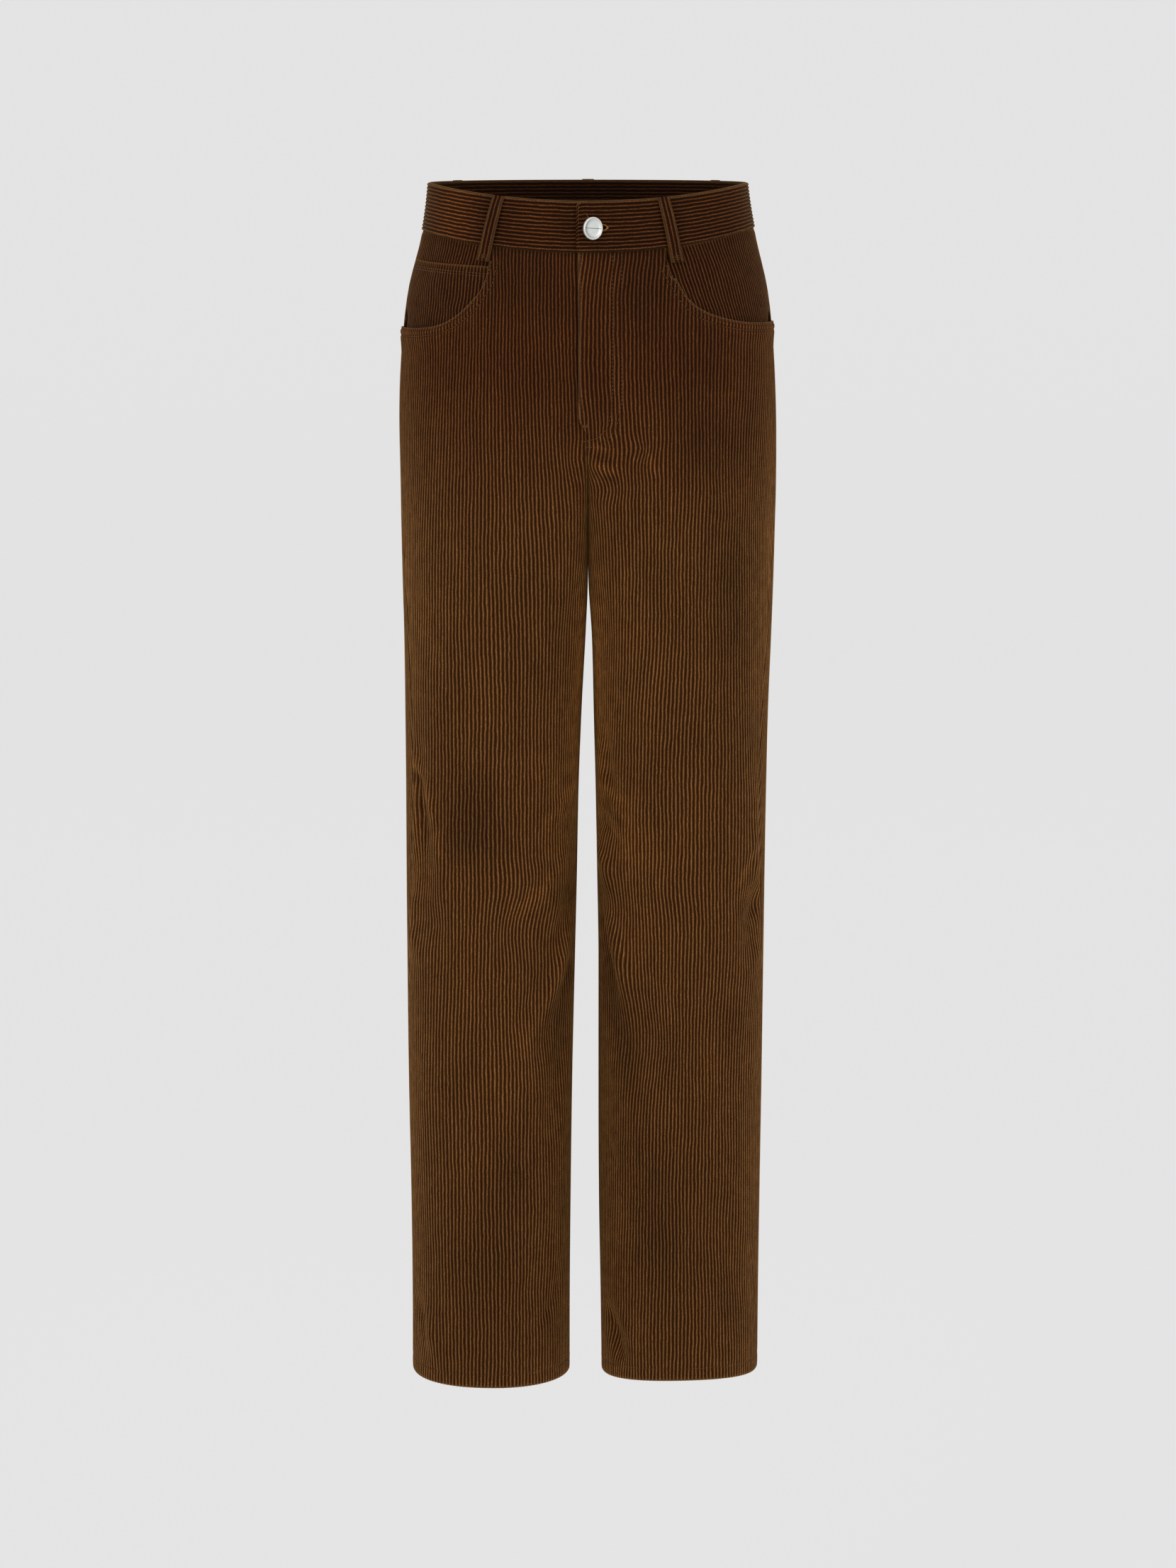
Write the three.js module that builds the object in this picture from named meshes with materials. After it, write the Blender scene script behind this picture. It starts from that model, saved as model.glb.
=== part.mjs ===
// Corduroy trousers with nobody in them, filled out and hanging from the waist.
// Millimetres. +Z is up, the front faces -Y and the wearer's left side is +X.
// The origin is the middle of the waist, level with the top edge at the sides.
import * as THREE from "three";
import { mergeVertices } from "three/addons/utils/BufferGeometryUtils.js";

// Cloth and seams.
const CLOTH = 1.8;
const SEAM_GAP = 0.3;
const HALF_GAP = SEAM_GAP / 2;

// Lengths down the outside of the leg.
const HEM_Z = -1083;
const HEM_DEPTH = 12;
const HEM_RISE_FROM = -960;
const HEM_RISE = { right: { front: 0, outside: 2 }, left: { front: 6.5, outside: 3.5 } };
const CROTCH_Z = -305;

// Waistband: top edge level at the sides and back, lower in front.
const WAIST_SIDE_Z = 2.5;
const WAIST_FRONT_DIP = 13.5;
const BAND_FRONT_DEPTH = 44.5;
const BAND_SIDE_DEPTH = { right: 42.5, left: 40 };
const BAND_BACK_DEPTH = 42;
const BAND_THICKNESS = 2.8;
const BAND_PROUD = 0.9;

// Fly: the wearer's left front laps over the right one.
const FLY_LAP = 8.5;
const FLY_END_Z = -200;
const FLY_FADE = 18;
const LAP_LIFT = CLOTH + SEAM_GAP;
const LAP_FLAT = 6;
const LAP_BLEND = 34;
const LAP_FADE = 30;
const UNDERLAP = 26;
const BAND_LAP = 10.5;
const BAND_LIFT = BAND_THICKNESS + SEAM_GAP;
const BAND_BLEND = 70;
const BAND_CORNER = 6;
const BAND_CORNER_STEPS = [0, 0.8, 2.2];
const BAND_FLAT = 14;

// Heights at which the length round the band and the width at a panel's top are measured.
const BAND_LEVEL = -20;
const PANEL_TOP_LEVEL = -60;

// Names the columns of a short table.
const table = (names, rows) =>
  rows.map((row) => Object.fromEntries(names.map((name, i) => [name, row[i]])));

// The leg at each height. right and left are how far the outside of each leg lies from the middle,
// innerRight and innerLeft the inside of each leg, front and back the depths of the section.
const WIDTHS = table(
  ["z", "right", "left", "innerRight", "innerLeft", "front", "back"],
  [
    [20, 141, 140.5, 0, 0, -94, 94],
    [0, 141.7, 141.5, 0, 0, -96, 96],
    [-45, 148, 149, 0, 0, -99, 102],
    [-90, 159.5, 159.5, 0, 0, -103, 113],
    [-130, 165, 164.5, 0, 0, -105, 123],
    [-170, 168, 167.2, 0, 0, -106, 131],
    [-210, 169, 168.6, 0.15, 0.15, -107, 135],
    [-255, 168.3, 168.8, 0.15, 0.15, -108, 132],
    [-305, 167.6, 167.8, 0.2, 0.2, -108, 121],
    [-350, 166.6, 166.6, 0.3, 0.6, -106, 112],
    [-400, 165.4, 164.9, 2.4, 3.6, -101, 104],
    [-470, 164.7, 162.3, 6, 5.3, -92, 93],
    [-540, 164.4, 161, 8.4, 6.8, -83, 85],
    [-620, 164.4, 160, 9.9, 8.2, -77, 77],
    [-700, 164.1, 159.3, 11.8, 9.4, -75, 74],
    [-800, 163.5, 158.4, 14.1, 9.4, -74, 73],
    [-920, 161.7, 157, 15.8, 9.9, -74, 73],
    [-1020, 161.1, 156.1, 16.7, 11.6, -75, 74],
    [-1100, 161.4, 155.9, 16.8, 12.4, -76, 75],
  ],
);

// How the section is shaped at each height. The peaks are where the front and back stand out
// furthest, as a share of the way from the inside of the leg to the outside; the rounds are the
// share of the inner side that is rounded off in front and behind; seam is the depth of the inseam,
// side the depth of the outermost line, and sideSeam how far the side seam lies in front of it.
const SHAPES = table(
  ["z", "peakF", "roundF", "peakB", "roundB", "seam", "side", "sideSeam"],
  [
    [20, 0, 0, 0, 0, 15, 0, 4],
    [-60, 0, 0, 0, 0, 15, 2, 6],
    [-120, 0, 0, 0.12, 0.01, 15, 6, 8],
    [-170, 0, 0, 0.28, 0.05, 15, 10, 10],
    [-222, 0, 0, 0.35, 0.12, 15, 12, 13],
    [-255, 0.16, 0.12, 0.38, 0.21, 15, 12, 19],
    [-305, 0.3, 0.33, 0.42, 0.4, 15, 10, 30],
    [-350, 0.38, 0.5, 0.45, 0.55, 12, 6, 40],
    [-400, 0.44, 0.68, 0.47, 0.7, 8, 4, 44],
    [-470, 0.49, 0.88, 0.5, 0.88, 4, 1, 46],
    [-540, 0.5, 1, 0.5, 1, 2, 0, 42],
    [-640, 0.5, 1, 0.5, 1, 0, 0, 30],
    [-760, 0.5, 1, 0.5, 1, 0, 0, 16],
    [-900, 0.5, 1, 0.5, 1, 0, 0, 10],
    [-1100, 0.5, 1, 0.5, 1, 0, 0, 8],
  ],
);
// Powers of the rounded quarters of a section: 2 is an ellipse, more is squarer.
const POWER = { frontInner: 2.1, frontOuter: 2.3, backOuter: 2.1, backInner: 2.1 };

// The rise seam between the two legs is a U: two quarter ellipses that meet at the crotch.
const RISE_FRONT = { topZ: -224, topY: -107 };
const RISE_BACK = { topZ: -195, topY: 135 };
const RISE_RUN_FROM = -250;

// The scoop of each front pocket, from the waistband out to the side seam.
const SCOOPS = {
  right: table(["x", "z"], [
    [84.5, -50], [86, -63], [91, -82], [101.5, -97.5],
    [116, -111.5], [130, -119.5], [146, -123.5], [168, -125],
  ]),
  left: table(["x", "z"], [
    [67.5, -44], [69.5, -66], [78, -80], [86, -93.5],
    [96.5, -103.5], [108, -109.5], [131, -116.5], [168, -120],
  ]),
};
// Towards the side seam the cloth under a scoop stands off the pocket by the gape.
const GAPE = { height: 3, reach: 28, fromX: 112, over: 40, atSeam: 6, fromSeam: 14 };

// Pocket facing and coin pocket. depth is how far their outer faces lie under the front panel's
// face: the right facing has the coin pocket between it and the panel.
const FACING = {
  thickness: 1.5, depth: { right: 4.1, left: 2.3 }, under: 14, bottomZ: -140, columns: 9, rows: 7,
};
const COIN = {
  thickness: 1.2, depth: 2.5, innerX: 84, topZ: -64, innerDrop: 4, height: 70, clear: 0.008,
  columns: 8, rows: 5,
};

// Folds fade out where a panel is held: at its seams, under the waistband and at the hem.
const HELD = { atSeam: 14, topZ: -60, overTop: 60, belowHem: 40, overHem: 60 };

// Folds, each a soft ridge (height above 0) or trough (below 0) from one point to another.
// a is the distance along the cloth from the middle line of its panel, more towards the outside.
const FOLDS = {
  front_right: table(["a0", "z0", "a1", "z1", "width", "height"], [
    [-88, -655, -24, -800, 13, 4.5],
    [-104, -620, -60, -690, 12, -4.5],
    [-84, -740, -58, -870, 14, -3.5],
    [84, -470, 62, -640, 12, -3.5],
    [72, -600, 96, -690, 10, 3],
    [74, -1000, 92, -1060, 12, -3.5],
    [-60, -930, -20, -1035, 16, -2],
    [10, -480, -14, -600, 22, 2],
  ]),
  front_left: table(["a0", "z0", "a1", "z1", "width", "height"], [
    [-98, -560, -52, -735, 13, 4],
    [-100, -640, -66, -770, 12, -4],
    [-94, -470, -78, -560, 11, -3.5],
    [82, -600, 66, -700, 12, -3.5],
    [92, -520, 82, -610, 11, 3],
    [-86, -1020, -52, -1062, 12, -3.5],
    [30, -900, 62, -1010, 16, -2],
    [12, -255, 46, -300, 16, 2],
  ]),
  back_right: table(["a0", "z0", "a1", "z1", "width", "height"], [
    [-76, -320, 12, -372, 15, -5],
    [-92, -362, -10, -420, 13, -3.5],
    [-70, -600, 40, -640, 14, -4],
    [-52, -660, 62, -676, 15, 3],
    [-66, -720, 30, -760, 14, -3],
    [40, -980, 76, -1050, 14, -3],
    [20, -250, 60, -330, 18, -2.5],
  ]),
  back_left: table(["a0", "z0", "a1", "z1", "width", "height"], [
    [-80, -312, 2, -360, 14, -4.5],
    [-88, -350, -22, -398, 13, -4],
    [-74, -622, 32, -646, 13, -3.5],
    [-40, -586, 70, -610, 14, 3],
    [-60, -700, 44, -724, 14, -3.5],
    [-72, -990, -40, -1056, 13, -3],
    [30, -262, 66, -345, 17, -2.5],
  ]),
};

// The button's disc lies clear of the band and turned aside; its stem passes through the buttonhole.
const BUTTON = {
  x: 3.6, z: -34.5, radius: 9.9, thickness: 2.4, rim: 1.3, hollow: 0.3, edge: 0.5, stem: 1.9, tip: 1.1,
  turn: 34, clear: 6.2, segments: 36,
};
const BUTTONHOLE = { from: -6, to: 15.5, height: 4.8 };

// Where a loop lies at the middle of the back, whatever the length round the band.
const BACK_MIDDLE = "back middle";

// Belt loops, sewn down at both ends and clear of the band between. around is the distance along the
// band from the middle of the front, lean how far the foot of the loop lies further round.
const BELT_LOOP = { width: 10.6, thickness: 2.2, slot: 3.4, seat: 0.35, above: 1.2, below: 14, steps: 14 };
const LOOP_ARCH = { from: 0.06, over: 0.8, power: 0.7 };
const BELT_LOOPS = table(["name", "side", "around", "lean"], [
  ["belt_loop_front_right", "right", 79, 9],
  ["belt_loop_front_left", "left", 66, 8],
  ["belt_loop_back_right", "right", 262, -3],
  ["belt_loop_back_left", "left", 266, 3],
  ["belt_loop_centre_back", "left", BACK_MIDDLE, 0],
]);

// How finely the cloth is divided.
const PANEL_COLUMNS = 16;
const BAND_COLUMNS = 56;
const TOP_ROWS = 5;
const TOP_ROWS_END = -150;
const PANEL_ROWS = [
  -150, -176, -200, -218, -238, -255, -270, -283, -293, -300, CROTCH_Z, -316, -340, -366, -400, -440,
  -480, -520, -560, -595, -630, -665, -700, -740, -785, -835, -890, -945, -995, -1030, -1055,
  HEM_Z + HEM_DEPTH, HEM_Z + HEM_DEPTH - 1, HEM_Z,
];
const HEM_ROWS = 2;
const SECTION_STEPS = 26;
const NORMAL_REACH = 3;
const TOP_TURNS = 8;
const SHARE_TURNS = 30;

const COLOURS = {
  cloth: { color: 0x4a2c14, roughness: 0.95, metalness: 0 },
  metal: { color: 0xc9cbca, roughness: 0.32, metalness: 1 },
};

const clamp = (v, low, high) => Math.min(high, Math.max(low, v));
const ease = (v) => {
  const t = clamp(v, 0, 1);
  return t * t * (3 - 2 * t);
};

// A smooth curve through a table's column: cubic between rows, with each row's slope taken from
// its neighbours. The table may run up or down.
function smooth(rows, key, column, at) {
  const up = rows[1][key] > rows[0][key] ? 1 : -1;
  const v = up * at;
  const k = (i) => up * rows[i][key];
  const last = rows.length - 1;
  if (v <= k(0)) return rows[0][column];
  if (v >= k(last)) return rows[last][column];
  let i = 0;
  while (v > k(i + 1)) i += 1;
  const rise = (j) => (rows[j + 1][column] - rows[j][column]) / (k(j + 1) - k(j));
  const slope = (j) => {
    if (j === 0 || j === last) return 0;
    return rise(j - 1) * rise(j) > 0 ? (rise(j - 1) + rise(j)) / 2 : 0;
  };
  const span = k(i + 1) - k(i);
  const t = (v - k(i)) / span;
  const h = t * t * (3 - 2 * t);
  return (
    rows[i][column] * (1 - h) +
    rows[i + 1][column] * h +
    span * (t * (1 - t) * (1 - t) * slope(i) - t * t * (1 - t) * slope(i + 1))
  );
}

// The rise seam's depth at a height, on its front or back branch.
function riseDepth(branch, seam, z) {
  const share = clamp((branch.topZ - z) / (branch.topZ - CROTCH_Z), 0, 1);
  return seam + (branch.topY - seam) * Math.sqrt(1 - share * share);
}

// One leg's section at a height, on its own side of the middle as if that side were +X: from the
// rise seam or inseam forward, round the outside and back to it, with the lengths along it.
const sections = new Map();
function section(side, z) {
  const key = side + z.toFixed(3);
  if (sections.has(key)) return sections.get(key);
  const at = (rows, column) => smooth(rows, "z", column, z);
  const outer = at(WIDTHS, side);
  const inner = at(WIDTHS, side === "right" ? "innerRight" : "innerLeft") + HALF_GAP;
  const front = at(WIDTHS, "front");
  const back = at(WIDTHS, "back");
  const seam = at(SHAPES, "seam");
  const middle = at(SHAPES, "side");
  const frontX = inner + (outer - inner) * at(SHAPES, "peakF");
  const backX = inner + (outer - inner) * at(SHAPES, "peakB");
  const frontCorner = front + (seam - front) * at(SHAPES, "roundF");
  const backCorner = back - (back - seam) * at(SHAPES, "roundB");
  const start = Math.max(frontCorner, riseDepth(RISE_FRONT, seam, z));
  const end = Math.min(backCorner, riseDepth(RISE_BACK, seam, z));
  const points = [];
  const straight = (fromY, toY) => {
    for (let i = 0; i <= SECTION_STEPS; i += 1) {
      points.push([inner, fromY + ((toY - fromY) * i) / SECTION_STEPS]);
    }
  };
  // A quarter of a rounded shape from one end to the other, leaving the first along Y or X.
  const quarter = (x0, y0, x1, y1, power, leavesAlongY) => {
    for (let i = 0; i <= SECTION_STEPS; i += 1) {
      const angle = (Math.PI / 2) * (i / SECTION_STEPS);
      const s = Math.sin(angle) ** (2 / power);
      const c = Math.cos(angle) ** (2 / power);
      points.push(
        leavesAlongY ? [x1 + (x0 - x1) * c, y0 + (y1 - y0) * s] : [x0 + (x1 - x0) * s, y1 + (y0 - y1) * c],
      );
    }
  };
  straight(start, frontCorner);
  quarter(inner, frontCorner, frontX, front, POWER.frontInner, true);
  quarter(frontX, front, outer, middle, POWER.frontOuter, false);
  quarter(outer, middle, backX, back, POWER.backOuter, true);
  quarter(backX, back, inner, backCorner, POWER.backInner, false);
  straight(backCorner, end);
  const lengths = [0];
  for (let i = 1; i < points.length; i += 1) {
    const step = Math.hypot(points[i][0] - points[i - 1][0], points[i][1] - points[i - 1][1]);
    lengths.push(lengths[i - 1] + step);
  }
  const made = { points, lengths, total: lengths[lengths.length - 1], closed: z <= CROTCH_Z };
  made.frontRun = seam - start;
  made.backRun = end - seam;
  // The length at which the section passes the middle of its width, before or after its outermost point.
  const outermost = 3 * (SECTION_STEPS + 1) - 1;
  const middleX = (inner + outer) / 2;
  const passing = (from, to) => {
    for (let i = from; i < to; i += 1) {
      const [a, b] = [points[i][0] - middleX, points[i + 1][0] - middleX];
      if (a * b <= 0 && a !== b) return lengths[i] + (lengths[i + 1] - lengths[i]) * (a / (a - b));
    }
    return lengths[to];
  };
  made.sideSeam = lengths[outermost] - at(SHAPES, "sideSeam");
  made.frontLine = passing(0, outermost);
  made.backLine = passing(outermost, points.length - 1);
  sections.set(key, made);
  return made;
}

// The point that lies beyond an end of an open section by a length, straight on from its end.
function onward({ points }, end, step, length) {
  const [x, y] = points[end];
  let next = end + step;
  while (Math.hypot(points[next][0] - x, points[next][1] - y) < 0.5) next += step;
  const far = Math.hypot(points[next][0] - x, points[next][1] - y);
  return [x + ((x - points[next][0]) / far) * length, y + ((y - points[next][1]) / far) * length];
}

// The point at a length along a section. A closed section goes round; an open one runs straight on.
function along(made, s) {
  const { points, lengths, total, closed } = made;
  if (closed && (s < 0 || s > total)) return along(made, s < 0 ? s + total : s - total);
  if (s < 0) return onward(made, 0, 1, -s);
  if (s > total) return onward(made, points.length - 1, -1, s - total);
  let low = 0;
  let high = lengths.length - 1;
  while (high - low > 1) {
    const mid = (low + high) >> 1;
    if (lengths[mid] <= s) low = mid;
    else high = mid;
  }
  const span = lengths[high] - lengths[low];
  const t = span > 0 ? (s - lengths[low]) / span : 0;
  return [0, 1].map((k) => points[low][k] * (1 - t) + points[high][k] * t);
}

// The point and outward direction of one side's surface, in that side's own +X.
function surface(side, s, z) {
  const level = section(side, z);
  const [higher, lower] = [section(side, z + NORMAL_REACH), section(side, z - NORMAL_REACH)];
  const here = along(level, s);
  const before = along(level, s - NORMAL_REACH);
  const after = along(level, s + NORMAL_REACH);
  const above = along(higher, (s / level.total) * higher.total);
  const below = along(lower, (s / level.total) * lower.total);
  const across = new THREE.Vector3(after[0] - before[0], after[1] - before[1], 0);
  const up = new THREE.Vector3(above[0] - below[0], above[1] - below[1], 2 * NORMAL_REACH);
  const out = across.cross(up).normalize();
  return { point: new THREE.Vector3(here[0], here[1], z), out };
}

// How far the folds move the cloth out at a place on a panel.
function foldHeight(folds, a, z) {
  let height = 0;
  for (const f of folds) {
    const da = f.a1 - f.a0;
    const dz = f.z1 - f.z0;
    const t = ((a - f.a0) * da + (z - f.z0) * dz) / (da * da + dz * dz);
    const k = clamp(t, 0, 1);
    const away = Math.hypot(a - f.a0 - k * da, z - f.z0 - k * dz);
    const ends = ease(clamp(1.1 - Math.abs(2 * t - 1), 0, 1) + 0.15);
    height += f.height * Math.exp(-((away / f.width) ** 2)) * ends;
  }
  return height;
}

// The waistband's top edge and its seam with the panels, by the distance from the middle.
function bandTop(side, x, inFront) {
  const half = smooth(WIDTHS, "z", side, 0);
  const level = clamp(Math.abs(x) / half, 0, 1) ** 2;
  return WAIST_SIDE_Z - (inFront ? WAIST_FRONT_DIP * (1 - level) : 0);
}
function bandBottom(side, x, inFront) {
  const half = smooth(WIDTHS, "z", side, 0);
  const level = clamp(Math.abs(x) / half, 0, 1) ** 2;
  const middle = inFront ? BAND_FRONT_DEPTH : BAND_BACK_DEPTH;
  return bandTop(side, x, inFront) - (middle + (BAND_SIDE_DEPTH[side] - middle) * level);
}

// A closed wall from a grid of places: place(i, j, layer) is the point of column i and row j on the
// outer face, layer 0, or the inner one, layer 1. Columns run to the right as seen from outside and
// rows run down. Cells for which missing is true are left open, with a rim round them.
function wall(columns, rows, place, missing = () => false) {
  const vertices = [];
  const faces = [];
  const index = (layer, i, j) => (layer * (rows + 1) + j) * (columns + 1) + i;
  for (const layer of [0, 1]) {
    for (let j = 0; j <= rows; j += 1) {
      for (let i = 0; i <= columns; i += 1) vertices.push(...place(i, j, layer).toArray());
    }
  }
  const quad = (a, b, c, d) => faces.push(a, b, c, a, c, d);
  const inside = (i, j) => i >= 0 && j >= 0 && i < columns && j < rows && !missing(i, j);
  for (let j = 0; j < rows; j += 1) {
    for (let i = 0; i < columns; i += 1) {
      if (!inside(i, j)) continue;
      const corners = [[i, j], [i, j + 1], [i + 1, j + 1], [i + 1, j]];
      const beside = [[i - 1, j], [i, j + 1], [i + 1, j], [i, j - 1]];
      const outer = corners.map(([a, b]) => index(0, a, b));
      const inner = corners.map(([a, b]) => index(1, a, b));
      quad(...outer);
      quad(...inner.toReversed());
      beside.forEach(([a, b], k) => {
        const next = (k + 1) % 4;
        if (!inside(a, b)) quad(outer[next], outer[k], inner[k], inner[next]);
      });
    }
  }
  const geometry = new THREE.BufferGeometry();
  geometry.setAttribute("position", new THREE.BufferAttribute(new Float32Array(vertices), 3));
  geometry.setIndex(faces);
  return mergeVertices(geometry, 1e-4);
}

// How wide the fly lap is and how far it is lifted at a height.
const lapWidth = (z) => FLY_LAP * ease((z - (FLY_END_Z - FLY_FADE)) / FLY_FADE);
const lapLift = (z) => LAP_LIFT * ease((z - (FLY_END_Z - FLY_FADE - LAP_FADE)) / LAP_FADE);

const sideOf = (name) => (name.endsWith("right") ? "right" : "left");

// Where a panel starts and ends along the section at a height.
function panelSpan(name, z) {
  const side = sideOf(name);
  const made = section(side, z);
  if (name.startsWith("front")) {
    const lap = side === "left" ? lapWidth(z) : 0;
    const from = made.closed ? HALF_GAP : -lap;
    return { side, from, to: made.sideSeam - HALF_GAP, line: made.frontLine, sign: 1 };
  }
  const to = made.total - (made.closed ? HALF_GAP : 0);
  return { side, from: made.sideSeam + HALF_GAP, to, line: made.backLine, sign: -1 };
}

// The length along the section at a share of a panel's width. Just above the crotch the rise seam
// runs quickly forward and back, and the places near it take up that run, so the rest stay upright.
function panelLength(name, share, z) {
  const { from, to } = panelSpan(name, z);
  const near = ease((RISE_RUN_FROM - z) / (RISE_RUN_FROM - CROTCH_Z));
  if (name.startsWith("front")) {
    const run = near * section(sideOf(name), z).frontRun;
    return from - run + (to - from + run) * share + run * (1 - share) ** 3;
  }
  const run = near * section(sideOf(name), z).backRun;
  return from + (to - from + run) * share - run * share ** 3;
}

// A panel's own surface: the point at a share of its width and a height, under the face by depth.
function panelPoint(name, share, z, depth) {
  const { side, from, to, line, sign } = panelSpan(name, z);
  const s = panelLength(name, share, z);
  const { point, out } = surface(side, s, z);
  const edge = Math.min(s - from, to - s);
  const held =
    ease(edge / HELD.atSeam) *
    ease((HELD.topZ - z) / HELD.overTop) *
    ease((z - HEM_Z + HELD.belowHem) / HELD.overHem);
  let lift = foldHeight(FOLDS[name], sign * (s - line), z) * held;
  if (name === "front_left") lift += lapLift(z) * (1 - ease((s - LAP_FLAT) / LAP_BLEND));
  if (name.startsWith("front")) {
    const drop = smooth(SCOOPS[side], "x", "z", point.x) - z;
    const outside = ease((point.x - GAPE.fromX) / GAPE.over) * ease((to - s + GAPE.atSeam) / GAPE.fromSeam);
    lift += GAPE.height * outside * (1 - ease(Math.abs(drop) / GAPE.reach));
  }
  return point.addScaledVector(out, lift - depth);
}

// The top edge of a panel at a share of its width: the waistband seam, or the pocket scoop.
function panelTop(name, share) {
  const inFront = name.startsWith("front");
  const side = sideOf(name);
  let z = PANEL_TOP_LEVEL;
  for (let turn = 0; turn < TOP_TURNS; turn += 1) {
    const { x, y } = panelPoint(name, share, z, 0);
    const seam = bandBottom(side, x, inFront && y < 0) - SEAM_GAP;
    const scoop = SCOOPS[side];
    z = inFront && x > scoop[0].x ? Math.min(seam, smooth(scoop, "x", "z", x)) : seam;
  }
  return z;
}

// How far the hem is drawn up at a share of a panel's width, in front and on the outside.
function hemRise(name, share) {
  const { side } = panelSpan(name, HEM_Z);
  const { x, y } = panelPoint(name, share, HEM_Z, 0);
  const { front, outside } = HEM_RISE[side];
  const halfDepth = -smooth(WIDTHS, "z", "front", HEM_Z);
  const width = smooth(WIDTHS, "z", side, HEM_Z);
  return front * clamp(-y / halfDepth, 0, 1) ** 2 + outside * clamp(x / width, 0, 1) ** 2;
}

// A panel from its top edge to its hem, where the cloth is turned up and lies double.
function panel(name) {
  const rows = PANEL_ROWS.length - 1 + TOP_ROWS;
  const shares = Array.from({ length: PANEL_COLUMNS + 1 }, (_, i) => i / PANEL_COLUMNS);
  const tops = shares.map((share) => panelTop(name, share));
  const rises = shares.map((share) => hemRise(name, share));
  const height = (i, j) => {
    if (j < TOP_ROWS) return tops[i] + (TOP_ROWS_END - tops[i]) * (j / TOP_ROWS);
    const z = PANEL_ROWS[j - TOP_ROWS];
    return z + rises[i] * clamp((HEM_RISE_FROM - z) / (HEM_RISE_FROM - HEM_Z), 0, 1);
  };
  const place = (i, j, layer) => {
    const thick = CLOTH * (j > rows - HEM_ROWS ? 2 : 1);
    return panelPoint(name, shares[i], height(i, j), layer * thick);
  };
  return wall(PANEL_COLUMNS, rows, place);
}

// The waistband runs from its lapping end in front round the wearer's left, the back and the
// wearer's right, and on under its own start.
function bandPlace(u, heightShare, depth) {
  const left = section("left", BAND_LEVEL).total;
  const onLeft = u <= left;
  const side = onLeft ? "left" : "right";
  const s = onLeft ? u : bandLength() - u;
  const level = section(side, BAND_LEVEL);
  const there = along(level, s);
  const inFront = there[1] < 0;
  const x = Math.abs(there[0]);
  const top = bandTop(side, x, inFront);
  const bottom = bandBottom(side, x, inFront);
  const intoEnd = u + BAND_LAP;
  const fromCorner = Math.max(0, BAND_CORNER - intoEnd);
  const corner = BAND_CORNER - Math.sqrt(BAND_CORNER ** 2 - fromCorner ** 2);
  const z = top - corner + (bottom - top + corner) * heightShare;
  const { point, out } = surface(side, s < 0 ? s : (s / level.total) * section(side, z).total, z);
  const lifted = BAND_LIFT * (1 - ease((u - BAND_FLAT) / BAND_BLEND));
  point.addScaledVector(out, BAND_PROUD + lifted - depth);
  if (!onLeft) point.x = -point.x;
  return point;
}
function bandLength() {
  return section("left", BAND_LEVEL).total + section("right", BAND_LEVEL).total;
}

// Columns bunch at the rounded corner of the lapping end and at the buttonhole, which is one cell.
function waistband() {
  const corner = BAND_CORNER_STEPS.map((step) => step - BAND_LAP);
  const hole = corner.length;
  const rest = bandLength() + UNDERLAP - BUTTONHOLE.to;
  const even = Array.from({ length: BAND_COLUMNS + 1 }, (_, i) => BUTTONHOLE.to + (rest * i) / BAND_COLUMNS);
  const us = [...corner, BUTTONHOLE.from, ...even];
  const shareOf = (z) => (WAIST_SIDE_Z - WAIST_FRONT_DIP - z) / BAND_FRONT_DEPTH;
  const half = BUTTONHOLE.height / 2;
  const shares = [0, shareOf(BUTTON.z + half), shareOf(BUTTON.z - half), 1];
  const place = (i, j, layer) => bandPlace(us[i], shares[j], layer * BAND_THICKNESS);
  return wall(us.length - 1, shares.length - 1, place, (i, j) => i === hole && j === 1);
}

// The share of a front panel's width at which it lies a given distance from the middle.
function shareAt(name, x, z) {
  const { side, from, to } = panelSpan(name, z);
  let low = 0;
  let high = 1;
  for (let turn = 0; turn < SHARE_TURNS; turn += 1) {
    const mid = (low + high) / 2;
    if (along(section(side, z), from + (to - from) * mid)[0] < x) low = mid;
    else high = mid;
  }
  return low;
}

// A piece that lies behind a front panel, from a distance from the middle out to the side seam.
// heightAt gives its height at a share of its width and of its own height.
function behindFront({ name, innerX, columns, rows, depth, thickness, clear = 0, heightAt }) {
  const place = (i, j, layer) => {
    const z = heightAt(i / columns, j / rows);
    const { side, from, to } = panelSpan(name, z);
    const first = shareAt(name, innerX, z);
    const share = first + (1 - clear - first) * (i / columns);
    const { point, out } = surface(side, from + (to - from) * share, z);
    return point.addScaledVector(out, -depth - layer * thickness);
  };
  return wall(columns, rows, place);
}

// The facing behind a pocket scoop, from the waistband down past the scoop's lowest point.
function pocketFacing(side) {
  const name = "front_" + side;
  const innerX = SCOOPS[side][0].x - FACING.under;
  const first = shareAt(name, innerX, PANEL_TOP_LEVEL);
  const { from, to } = panelSpan(name, PANEL_TOP_LEVEL);
  const heightAt = (across, down) => {
    const share = first + (1 - first) * across;
    const [x, y] = along(section(side, PANEL_TOP_LEVEL), from + (to - from) * share);
    const top = bandBottom(side, x, y < 0) - SEAM_GAP;
    return top + (FACING.bottomZ - top) * down;
  };
  return behindFront({ ...FACING, name, innerX, depth: FACING.depth[side], heightAt });
}

// The coin pocket lies on the right facing, with its top edge showing above the scoop.
function coinPocket() {
  const heightAt = (across, down) => COIN.topZ - COIN.innerDrop * (1 - across) - COIN.height * down;
  return behindFront({ ...COIN, name: "front_right", heightAt });
}

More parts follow.
